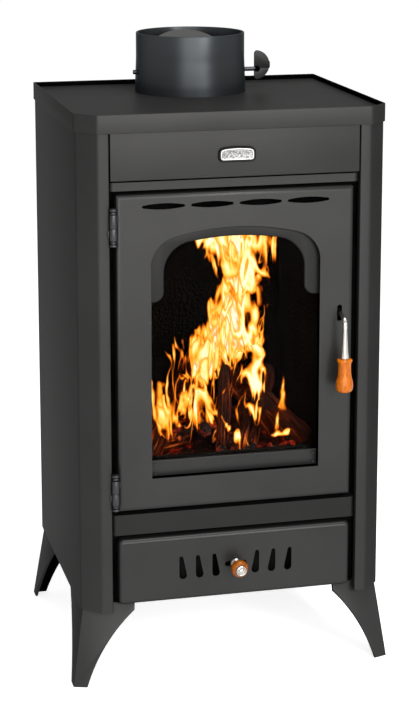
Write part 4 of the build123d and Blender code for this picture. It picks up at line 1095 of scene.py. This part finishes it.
def weld_run(side, low, body, name):
    """A rippled run of weld beside a tube; side is one towards the door and minus one towards the casing."""
    centre = (hinge_x + side * TUBE_RADIUS * 1.02, front_y - WELD_PROUD, 0)
    outline = [(0.0, low)]
    for step in range(2 * WELD_RIPPLES):
        share = (step + 0.5) / (2 * WELD_RIPPLES)
        swell = math.sin(math.pi * share) ** 0.4 * (1.0 if step % 2 else 0.8)
        outline.append((WELD_RADIUS * swell, low + WELD_LENGTH * share))
    outline.append((0.0, low + WELD_LENGTH))
    turn_outline(centre, (0, 0, 1), outline, None, 16)
    bpy.ops.transform.resize(value=(1, 0.55, 1), center_override=centre)
    hand_over(name, body, door_paint, smooth=60)


for place, meeting in (("upper", upper_meeting), ("lower", lower_meeting)):
    weld_run(1, meeting + 0.004, "door", place + "_door_weld")
    weld_run(-1, meeting - 0.0135, "stove", place + "_casing_weld")

# %% [markdown]
# ## Handle
# The handle is a bent rod that runs into a bright taper and a turned wooden grip. Both are outlines spun
# about the upright line of the handle: the taper swells slightly where it enters the wood, and the grip has
# a lipped top, a hollow waist and a full lower end with a flat sole.

# %% Taper and grip
cone_low, cone_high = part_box("handle_cone")
grip_low, grip_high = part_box("handle_grip")
handle_axis = (*middle_of("handle_cone")[:2], 0)
CONE_RADIUS = (cone_high[0] - cone_low[0]) / 2
ROD_RADIUS = 0.00275
cone_length = cone_high[2] - cone_low[2]
cone_outline = [(0.0, cone_low[2]), (CONE_RADIUS * 0.96, cone_low[2]), (CONE_RADIUS, cone_low[2] + 0.002)]
for share in (0.25, 0.5, 0.75):
    slim = CONE_RADIUS + (ROD_RADIUS - CONE_RADIUS) * share
    cone_outline.append((slim - 0.0002 * math.sin(math.pi * share), cone_low[2] + cone_length * share))
cone_outline += [(ROD_RADIUS, cone_high[2]), (0.0, cone_high[2])]
turn_outline(handle_axis, (0, 0, 1), cone_outline, None, 48)
hand_over("handle_taper", "handle", chrome, ["handle_cone"], 60)

grip_length = grip_high[2] - grip_low[2]
GRIP_RADIUS = (grip_high[0] - grip_low[0]) / 2
grip_shape = [(0.0, 1.0), (0.72, 1.0), (0.8, 0.99), (0.87, 0.965), (0.86, 0.935), (0.77, 0.9)]
grip_shape += [(0.73, 0.85), (0.715, 0.77), (0.72, 0.68), (0.74, 0.58), (0.78, 0.49), (0.86, 0.4)]
grip_shape += [(0.955, 0.31), (0.995, 0.22), (0.98, 0.13), (0.89, 0.055), (0.74, 0.015), (0.55, 0.0)]
grip_shape += [(0.0, 0.0)]
grip_outline = scaled(grip_shape, GRIP_RADIUS, grip_low[2], grip_length)
turn_outline(handle_axis, (0, 0, 1), grip_outline, None, 64)
hand_over("handle_grip_turned", "handle", grip_wood, ["handle_grip"], 60)

# %% [markdown]
# ## Drawer knob
# The knob is three turned pieces on one stem: a bright ferrule, a bead of wood and a cap with a ring round
# a small dome. Its axis points out of the drawer, so the outlines are spun about that axis.

# %% Knob
wood_low, wood_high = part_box("wooden_knob")
ferrule_low, ferrule_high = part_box("knob_ferrule")
cap_low, cap_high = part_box("knob_cap")
wood_middle = middle_of("wooden_knob")
knob_axis = (wood_middle[0], 0, wood_middle[2])
KNOB_RADIUS = (wood_high[0] - wood_low[0]) / 2
FERRULE_RADIUS = (ferrule_high[0] - ferrule_low[0]) / 2
CAP_RADIUS = (cap_high[0] - cap_low[0]) / 2
knob_depth = wood_high[1] - wood_low[1]
OUTWARD = (0, -1, 0)
knob_shape = [(0.0, 0.0), (0.5, 0.0), (0.72, 0.06), (0.9, 0.2), (1.0, 0.45)]
knob_shape += [(0.97, 0.68), (0.84, 0.88), (0.64, 1.0), (0.0, 1.0)]
knob_outline = scaled(knob_shape, KNOB_RADIUS, -wood_high[1], knob_depth)
turn_outline(knob_axis, OUTWARD, knob_outline, {2: 0.0008, 3: 0.0012, 4: 0.0015, 5: 0.0015, 6: 0.0012}, 64)
hand_over("knob_bead", "shutter", knob_wood, ["wooden_knob"], 60)

ferrule_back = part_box("drawer_front")[0][1] - 0.0008
ferrule_depth = ferrule_back - wood_high[1]
ferrule_shape = [(0.0, 0.0), (1.24, 0.0), (1.3, 0.1), (1.24, 0.24), (0.98, 0.36)]
ferrule_shape += [(0.78, 0.6), (0.76, 0.8), (0.8, 1.0), (0.0, 1.0)]
ferrule_outline = scaled(ferrule_shape, FERRULE_RADIUS, -ferrule_back, ferrule_depth)
turn_outline(knob_axis, OUTWARD, ferrule_outline, {1: 0.0004, 2: 0.0006}, 48)
hand_over("knob_collar", "shutter", chrome, ["knob_ferrule"], 60)

cap_depth = cap_high[1] - cap_low[1]
cap_shape = [(0.0, 0.0), (0.98, 0.0), (1.0, 0.35), (0.94, 0.62), (0.8, 0.68)]
cap_shape += [(0.7, 0.5), (0.64, 0.5), (0.5, 0.8), (0.28, 0.96), (0.0, 1.0)]
cap_outline = scaled(cap_shape, CAP_RADIUS, -cap_high[1], cap_depth)
turn_outline(knob_axis, OUTWARD, cap_outline, {3: 0.0004, 4: 0.0004}, 48)
hand_over("knob_dome", "shutter", chrome, ["knob_cap"], 60)

# %% [markdown]
# ## Badge
# The badge is a small casting in a dark surround, with round corners and a slightly arched top. Its outline
# is drawn, rounded, filled and pulled back to its thickness. The front is then inset and pushed back for
# the surround, inset and raised for the bright plate, and inset once more for a pebbled field that is left
# blank.

# %% Badge outline
badge_low, badge_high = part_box("badge_plate")
ARCH_RISE = 0.0022
BADGE_LIP = 0.0009
BADGE_CORNER = 0.006
badge_low = [badge_low[0] - BADGE_LIP, badge_low[1], badge_low[2] - BADGE_LIP]
badge_high = [badge_high[0] + BADGE_LIP, badge_high[1], badge_high[2] + BADGE_LIP]
ARCH_SPAN = 0.96 * (badge_high[0] - badge_low[0])
shoulder = badge_high[2] - ARCH_RISE
badge_corners = [(badge_low[0], badge_low[1], badge_low[2]), (badge_high[0], badge_low[1], badge_low[2])]
badge_corners.append((badge_high[0], badge_low[1], shoulder))
for share in (0.25, 0.0, -0.25):
    badge_corners.append((share * ARCH_SPAN, badge_low[1], badge_high[2] - ARCH_RISE * 4 * share ** 2))
badge_corners.append((badge_low[0], badge_low[1], shoulder))
draw_line(badge_corners, closed=True)
for corner in badge_corners[:3] + badge_corners[-1:]:
    round_corner(corner, BADGE_CORNER, 7)
bpy.ops.mesh.select_all(action="SELECT")
bpy.ops.mesh.edge_face_add()
bpy.ops.mesh.extrude_region_move(TRANSFORM_OT_translate={"value": (0, badge_high[1] - badge_low[1], 0)})
bpy.ops.mesh.select_all(action="SELECT")
bpy.ops.mesh.normals_make_consistent(inside=False)
bpy.ops.mesh.select_mode(type="FACE")
select_faces(lambda face: face.normal.y < -0.9)
for finish in (casing_paint, black_and_painted_shade, badge_metal, badge_field):
    bpy.context.object.data.materials.append(finish)

print("badge outline drawn")

# %% Badge steps
# flat width, step width, step height and the finish inside the step
badge_steps = [
    (0.0006, 0.0003, 0.0005, 0),
    (0.0007, 0.0002, -0.0012, 1),
    (0.0005, 0.0003, 0.0014, 2),
    (0.0012, 0.0003, -0.0004, 3),
]
dress_selected(1)
for flat, step, rise, inside in badge_steps:
    bpy.ops.mesh.inset(thickness=flat)
    bpy.ops.mesh.inset(thickness=step, depth=rise)
    dress_selected(inside)
round_edges(0.0002, 2, 30)
hand_over("badge_casting", "stove", None, ["badge_plate"])

# %% [markdown]
# ## Small fixings
# Two small domed rivets, painted over, hold each end of the strip under the glass, and a dark washer closes
# the end of the damper's spindle where it meets the flag. Each is one outline, spun and copied.

# %% Rivets and washer
RIVET_RADIUS = 0.0013
rivet_shape = [(0.0, 0.0), (1.0, 0.0), (0.96, 0.3), (0.72, 0.62), (0.36, 0.78), (0.0, 0.82)]
RIVET_INSET = 0.005
RIVET_LOW = 0.004
RIVET_HIGH = 0.005
rivet_x = sill_high[0] - RIVET_INSET
rivet_centre = (rivet_x, 0, sill_low[2] + RIVET_LOW)
rivet_foot = -sill_low[1] - 0.2 * RIVET_RADIUS
rivet_outline = scaled(rivet_shape, RIVET_RADIUS, rivet_foot, RIVET_RADIUS)
turn_outline(rivet_centre, OUTWARD, rivet_outline, None, 20)
bpy.ops.object.mode_set(mode="OBJECT")
first_rivet = bpy.context.object
rivet_rise = sill_high[2] - RIVET_HIGH - rivet_centre[2]
rivets = [first_rivet]
for move in ((0, 0, rivet_rise), (-2 * rivet_x, 0, 0), (-2 * rivet_x, 0, rivet_rise)):
    rivets.append(copy_of(first_rivet, move))
join_pieces(rivets)
hand_over("sill_rivets", "door", hinge_paint, smooth=60)

spindle_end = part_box("damper_spindle")[1][0]
spindle_middle = middle_of("damper_spindle")
washer_centre = (spindle_end - 0.0012, 0, spindle_middle[2])
washer_front = -spindle_middle[1]
washer_shape = [(0.0, -0.001), (0.0038, -0.001), (0.0038, 0.0032)]
washer_shape += [(0.003, 0.0038), (0.0022, 0.0032), (0.0, 0.0032)]
washer_outline = scaled(washer_shape, 1, washer_front, 1)
turn_outline(washer_centre, OUTWARD, washer_outline, {3: 0.0003}, 32)
hand_over("damper_washer", "damper", black_and_painted_shade, smooth=60)

# %% [markdown]
# ## Logs
# The fire burns on split logs that lean together over a bed of embers. A log is a cylinder cut across many
# times; each ring of corners is then swollen or shrunk and the whole is roughened at random. One log is
# modelled and copied; each copy is turned, sized and placed as its own mesh. The finish follows the log's
# UV map, which runs along it: charred fibres, with heat that shows through the cracks between them.

# %% Charred finish
log_char, char_tree, char_surface = new_finish(
    "log_char", Specular_IOR_Level=0.02, Roughness=0.9, Emission_Strength=1.0
)
fibre = noise(char_tree, coordinates(char_tree, "UV", (26, 5, 1)), 1.0, 6.0, 0.65, 0.8)
heat = noise(char_tree, coordinates(char_tree), 19, 3.0, 0.55)
fibre_glow = spread(char_tree, fibre, 0.1, 1.0, 0.42, 0.68)
glow = combine(char_tree, "MULTIPLY", fibre_glow, spread(char_tree, heat, 0.0, 1.0, 0.34, 0.66))
char_tones = [(0.3, (0.002, 0.0015, 0.001)), (0.6, (0.008, 0.005, 0.004)), (0.8, (0.02, 0.012, 0.008))]
glow_tones = [(0.0, (0, 0, 0)), (0.12, (0.006, 0.0006, 0.0001)), (0.4, (0.04, 0.004, 0.0006))]
glow_tones += [(0.7, (0.3, 0.035, 0.003)), (1.0, (0.9, 0.28, 0.03))]
fill(char_tree, char_surface, Base_Color=ramp(char_tree, fibre, char_tones))
fill(char_tree, char_surface, Emission_Color=ramp(char_tree, glow, glow_tones))
bump(char_tree, char_surface, fibre, 0.003, 0.9)
print("finish", log_char.name)

# %% Logs
fire_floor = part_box("fire_grate")[1][2]
LOG_RADIUS = 0.02
LOG_LENGTH = 0.2
LOG_RINGS = 16
LOG_ROUGHNESS = 0.0035
start_clean()
log_middle = (0, 0, LOG_LENGTH / 2)
bpy.ops.mesh.primitive_cylinder_add(vertices=28, radius=LOG_RADIUS, depth=LOG_LENGTH, location=log_middle)
apply_moves()
bpy.ops.object.mode_set(mode="EDIT")
for ring in range(1, LOG_RINGS):
    bpy.ops.mesh.select_all(action="SELECT")
    bpy.ops.mesh.bisect(plane_co=(0, 0, LOG_LENGTH * ring / LOG_RINGS), plane_no=(0, 0, 1))
bpy.ops.mesh.select_mode(type="VERT")
for ring in range(LOG_RINGS + 1):
    height = LOG_LENGTH * ring / LOG_RINGS
    share = ring / LOG_RINGS
    swell = 1 + 0.09 * math.sin(9 * share + 1) + 0.06 * math.sin(23 * share) - 0.5 * share ** 7
    select_corners(lambda place: abs(place.z - height) < 0.001)
    bpy.ops.transform.resize(value=(swell, 0.9 * swell, 1), center_override=(0, 0, height))
bpy.ops.mesh.select_all(action="SELECT")
bpy.ops.transform.vertex_random(offset=LOG_ROUGHNESS, uniform=0.2, normal=0.6, seed=5)
bpy.ops.object.mode_set(mode="OBJECT")
use_modifier("SUBSURF", levels=1, render_levels=1)
log_pattern = bpy.context.object

# foot, head and thickness of each log, in metres above the grate
log_places = [
    ((-0.002, -0.092, 0.008), (0.008, -0.07, 0.15), 0.5),
    ((0.026, -0.075, 0.012), (0.078, -0.03, 0.135), 0.72),
    ((0.125, -0.05, 0.035), (0.04, -0.045, 0.12), 0.7),
    ((-0.105, -0.055, 0.01), (-0.012, -0.005, 0.15), 0.8),
    ((-0.09, 0.03, 0.02), (0.1, 0.045, 0.045), 1.05),
    ((-0.115, -0.082, 0.012), (0.03, -0.09, 0.02), 0.75),
    ((0.105, 0.02, 0.01), (0.02, 0.012, 0.14), 0.78),
    ((-0.06, 0.055, 0.01), (0.0, 0.02, 0.16), 0.8),
]
for number, (foot, head, thickness) in enumerate(log_places, 1):
    log = copy_mesh("log", log_pattern.data)
    reach = Vector(head) - Vector(foot)
    log.rotation_mode = "QUATERNION"
    log.rotation_quaternion = reach.to_track_quat("Z", "Y")
    log.scale = (thickness, thickness, reach.length / LOG_LENGTH)
    log.location = (foot[0], foot[1], foot[2] + fire_floor)
    hand_over(f"log_{number}", "stove", log_char, smooth=70)
bpy.data.objects.remove(log_pattern)

# %% [markdown]
# ## Embers
# The bed of embers is a grid of small squares shaken into a rough heap, with loose coals on it. A coal is a
# ball of few faces, shaken out of shape, and copied about the bed with a fixed random pattern. Its finish
# glows red where the noise says that it is hot, and is grey with ash elsewhere.

# %% Ember finish
ember_glow, ember_tree, ember_surface = new_finish(
    "ember_glow", Roughness=0.95, Specular_IOR_Level=0.05, Emission_Strength=0.8
)
ember_place = coordinates(ember_tree)
ember_heat = noise(ember_tree, ember_place, 42, 5.0, 0.65, 0.5)
ash_tones = [(0.35, (0.004, 0.003, 0.003)), (0.6, (0.02, 0.014, 0.012)), (0.75, (0.05, 0.04, 0.036))]
ember_tones = [(0.5, (0, 0, 0)), (0.58, (0.2, 0.006, 0.001))]
ember_tones += [(0.68, (0.75, 0.05, 0.004)), (0.8, (1.0, 0.3, 0.03))]
fill(ember_tree, ember_surface, Base_Color=ramp(ember_tree, ember_heat, ash_tones))
fill(ember_tree, ember_surface, Emission_Color=ramp(ember_tree, ember_heat, ember_tones))
bump(ember_tree, ember_surface, ember_heat, 0.004, 0.8)
print("finish", ember_glow.name)

# %% Ember bed and coals
dice = random.Random(11)
BED_HALF = 0.122
COALS = 46
COAL_RADIUS = 0.009
COAL_REACH = 0.11
start_clean()
bed_middle = (0, 0, fire_floor + 0.004)
bpy.ops.mesh.primitive_grid_add(x_subdivisions=70, y_subdivisions=56, size=2 * BED_HALF, location=bed_middle)
apply_moves()
bpy.ops.object.mode_set(mode="EDIT")
bpy.ops.mesh.select_all(action="SELECT")
bpy.ops.transform.resize(value=(1, 0.84, 1), center_override=(0, 0, fire_floor))
bpy.ops.transform.vertex_random(offset=0.007, uniform=0.3, seed=2)
bpy.ops.mesh.vertices_smooth(factor=0.4, repeat=2)
bpy.ops.object.mode_set(mode="OBJECT")
hand_over("ember_bed", "stove", ember_glow, smooth=60)

start_clean()
bpy.ops.mesh.primitive_ico_sphere_add(subdivisions=2, radius=COAL_RADIUS)
bpy.ops.object.mode_set(mode="EDIT")
bpy.ops.mesh.select_all(action="SELECT")
bpy.ops.transform.vertex_random(offset=0.004, uniform=0.4, seed=4)
bpy.ops.object.mode_set(mode="OBJECT")
coal = bpy.context.object
heap = []
for number in range(COALS):
    side = dice.uniform(-1, 1)
    lump = copy_mesh("coal", coal.data)
    size = dice.uniform(0.6, 1.5)
    lump.scale = (size, size * dice.uniform(0.7, 1), size * dice.uniform(0.6, 0.9))
    lump.rotation_euler = (dice.uniform(0, 6), dice.uniform(0, 6), dice.uniform(0, 6))
    depth = dice.uniform(-0.098, 0.06)
    lift = 0.03 * (1 - abs(side)) + 0.012 * dice.random() + (0.03 if side < -0.2 else 0.0)
    lump.location = (side * COAL_REACH, depth, fire_floor + 0.01 + lift)
    heap.append(lump)
bpy.data.objects.remove(coal)
join_pieces(heap)
hand_over("coals", "stove", ember_glow, smooth=50)

# %% [markdown]
# ## Flames
# A flame is a thin sheet that bends, narrows and leans as it rises. It starts as a grid; each row is
# narrowed and moved along a wavering path. Four sheets are modelled, and copies of them are set at
# different depths, so that the fire has body from every side. The finish glows and fades by the sheet's own
# UV map: white and yellow in the middle, orange at the edge, clear outside, all torn by noise.

# %% Flame finish
def off_half(tree, value):
    """How far a value is from a half."""
    return combine(tree, "ABSOLUTE", combine(tree, "SUBTRACT", value, 0.5), 0)


def flame_finish(name, fullness):
    """A glowing finish for a sheet; a low fullness leaves only strands of flame."""
    finish, tree, surface = new_finish(name, Roughness=1.0, Specular_IOR_Level=0.0, Emission_Strength=1.25)
    surface.inputs["Base Color"].default_value = (0, 0, 0, 1)
    sheet = add_node(tree, "SeparateXYZ", Vector=coordinates(tree, "UV"))
    body_place = coordinates(tree, stretch=(1, 1, 0.4))
    curl = noise(tree, body_place, 24, 2.0, 0.45, 0.8)
    tear = noise(tree, body_place, 30, 2.5, 0.5, 1.2)
    strand = noise(tree, coordinates(tree, stretch=(1, 1, 0.3)), 36, 1.5, 0.4, 1.6)
    waved = combine(tree, "ADD", sheet.outputs["X"], spread(tree, curl, -0.5, 0.5))
    middle = combine(tree, "SUBTRACT", fullness, combine(tree, "MULTIPLY", off_half(tree, waved), 2.2))
    edge_fade = spread(tree, off_half(tree, sheet.outputs["X"]), 0.0, 1.0, 0.36, 0.5)
    rise = combine(tree, "POWER", sheet.outputs["Y"], 2.2)
    foot_fade = spread(tree, sheet.outputs["Y"], 0.9, 0.0, 0.0, 0.25)
    level = combine(tree, "SUBTRACT", middle, combine(tree, "MULTIPLY", rise, 0.6))
    level = combine(tree, "SUBTRACT", level, combine(tree, "ADD", foot_fade, edge_fade))
    level = combine(tree, "ADD", level, spread(tree, tear, -1.5, 1.1))
    level = combine(tree, "ADD", level, spread(tree, off_half(tree, strand), 0.55, -0.3, 0.0, 0.12))
    tones = [
        (0.05, (0.5, 0.04, 0.0)),
        (0.24, (1.0, 0.19, 0.005)),
        (0.44, (1.0, 0.42, 0.025)),
        (0.68, (1.0, 0.72, 0.17)),
        (1.0, (1.0, 0.96, 0.62)),
    ]
    cover = spread(tree, level, 0.0, 1.0, 0.06, 0.4)
    fill(tree, surface, Emission_Color=ramp(tree, level, tones), Alpha=cover)
    return finish


full_flame = flame_finish("full_flame", 1.05)
torn_flame = flame_finish("torn_flame", 0.6)
print("finishes", full_flame.name, torn_flame.name)

# %% Flame sheets
FLAME_ROWS = 26


def flame_sheet(widths, sway, bow, seed):
    """A sheet one metre high and one wide, shaped row by row; widths are shares at equal steps of height."""
    start_clean()
    bpy.ops.mesh.primitive_grid_add(x_subdivisions=9, y_subdivisions=FLAME_ROWS, size=1, location=(0, 0, 0.5))
    bpy.context.object.rotation_euler = (math.pi / 2, 0, 0)
    apply_moves()
    bpy.ops.object.mode_set(mode="EDIT")
    bpy.ops.mesh.select_mode(type="VERT")
    dice = random.Random(seed)
    phase = dice.uniform(0, 6)
    for row in range(FLAME_ROWS + 1):
        height = row / FLAME_ROWS
        select_corners(lambda place: abs(place.z - height) < 0.25 / FLAME_ROWS)
        place = height * (len(widths) - 1)
        lower = min(int(place), len(widths) - 2)
        width = widths[lower] + (widths[lower + 1] - widths[lower]) * (place - lower)
        bpy.ops.transform.resize(value=(width, 1, 1), center_override=(0, 0, height))
        side = sway * math.sin(phase + 4.5 * height) * height
        back = bow * math.sin(1.7 * phase + 3.2 * height) * height
        bpy.ops.transform.translate(value=(side, back, 0))
    bpy.ops.mesh.select_all(action="SELECT")
    bpy.ops.transform.vertex_random(offset=0.012, uniform=0.5, seed=seed)
    bpy.ops.object.mode_set(mode="OBJECT")
    use_modifier("SUBSURF", levels=1, render_levels=1)
    return bpy.context.object


sheets = [
    flame_sheet((0.75, 1.0, 0.95, 0.7, 0.4, 0.12), 0.1, 0.12, 3),
    flame_sheet((0.6, 0.9, 1.0, 0.55, 0.62, 0.2), 0.16, 0.1, 8),
    flame_sheet((0.9, 1.0, 0.7, 0.55, 0.3, 0.1), 0.22, 0.15, 21),
    flame_sheet((0.5, 0.75, 0.9, 1.0, 0.9, 0.55), 0.08, 0.1, 34),
]
print("flame sheets", len(sheets))

# %% Placing the flames
# sheet, foot in metres above the grate, height, width, lean to the right and turn about the upright
full_places = [
    (3, (0.034, -0.076, 0.24), 0.125, 0.13, 0.06, 0.05),
    (3, (0.022, -0.074, 0.282), 0.09, 0.06, -0.8, -0.1),
    (0, (0.03, -0.05, 0.15), 0.17, 0.066, 0.03, 0.0),
    (0, (0.012, -0.035, 0.12), 0.19, 0.075, 0.14, -0.2),
    (3, (-0.012, -0.02, 0.1), 0.17, 0.07, 0.3, 0.25),
    (0, (-0.04, -0.04, 0.11), 0.15, 0.06, 0.5, -0.2),
    (3, (0.052, -0.06, 0.09), 0.08, 0.05, -0.05, 0.1),
    (1, (0.08, -0.08, 0.04), 0.045, 0.036, 0.0, 0.0),
    (0, (0.034, 0.03, 0.12), 0.2, 0.08, 0.05, 1.2),
]
torn_places = [
    (0, (0.03, -0.06, 0.21), 0.16, 0.12, 0.2, 0.2),
    (3, (-0.072, -0.05, 0.085), 0.15, 0.12, 0.62, 0.05),
    (1, (-0.03, -0.065, 0.09), 0.15, 0.085, 0.28, 0.15),
    (1, (0.05, -0.045, 0.14), 0.1, 0.07, 0.35, 0.3),
    (0, (-0.073, -0.07, 0.055), 0.15, 0.125, 0.16, 0.0),
    (3, (-0.086, -0.06, 0.06), 0.1, 0.08, -0.05, 0.2),
    (1, (-0.055, -0.08, 0.045), 0.15, 0.09, 0.2, -0.3),
    (2, (-0.036, -0.09, 0.05), 0.15, 0.075, 0.15, 0.2),
    (3, (-0.082, -0.09, 0.04), 0.085, 0.1, 0.4, 0.1),
    (0, (0.03, -0.08, 0.05), 0.14, 0.07, -0.08, 0.0),
    (2, (0.088, -0.06, 0.06), 0.085, 0.03, 0.1, 0.0),
    (2, (0.04, -0.096, 0.02), 0.09, 0.035, -0.5, 0.0),
    (3, (0.01, -0.06, 0.13), 0.12, 0.07, 0.1, 0.0),
]
flame_places = [(*place, full_flame) for place in full_places]
flame_places += [(*place, torn_flame) for place in torn_places]
for number, (kind, foot, height, width, lean, turn, finish) in enumerate(flame_places, 1):
    flame = copy_mesh("flame", sheets[kind].data)
    flame.scale = (width, width, height)
    flame.rotation_euler = (0, lean, turn)
    flame.location = (foot[0], foot[1], foot[2] + fire_floor)
    hand_over(f"flame_{number}", "stove", finish, smooth=80)
for sheet in sheets:
    bpy.data.objects.remove(sheet)
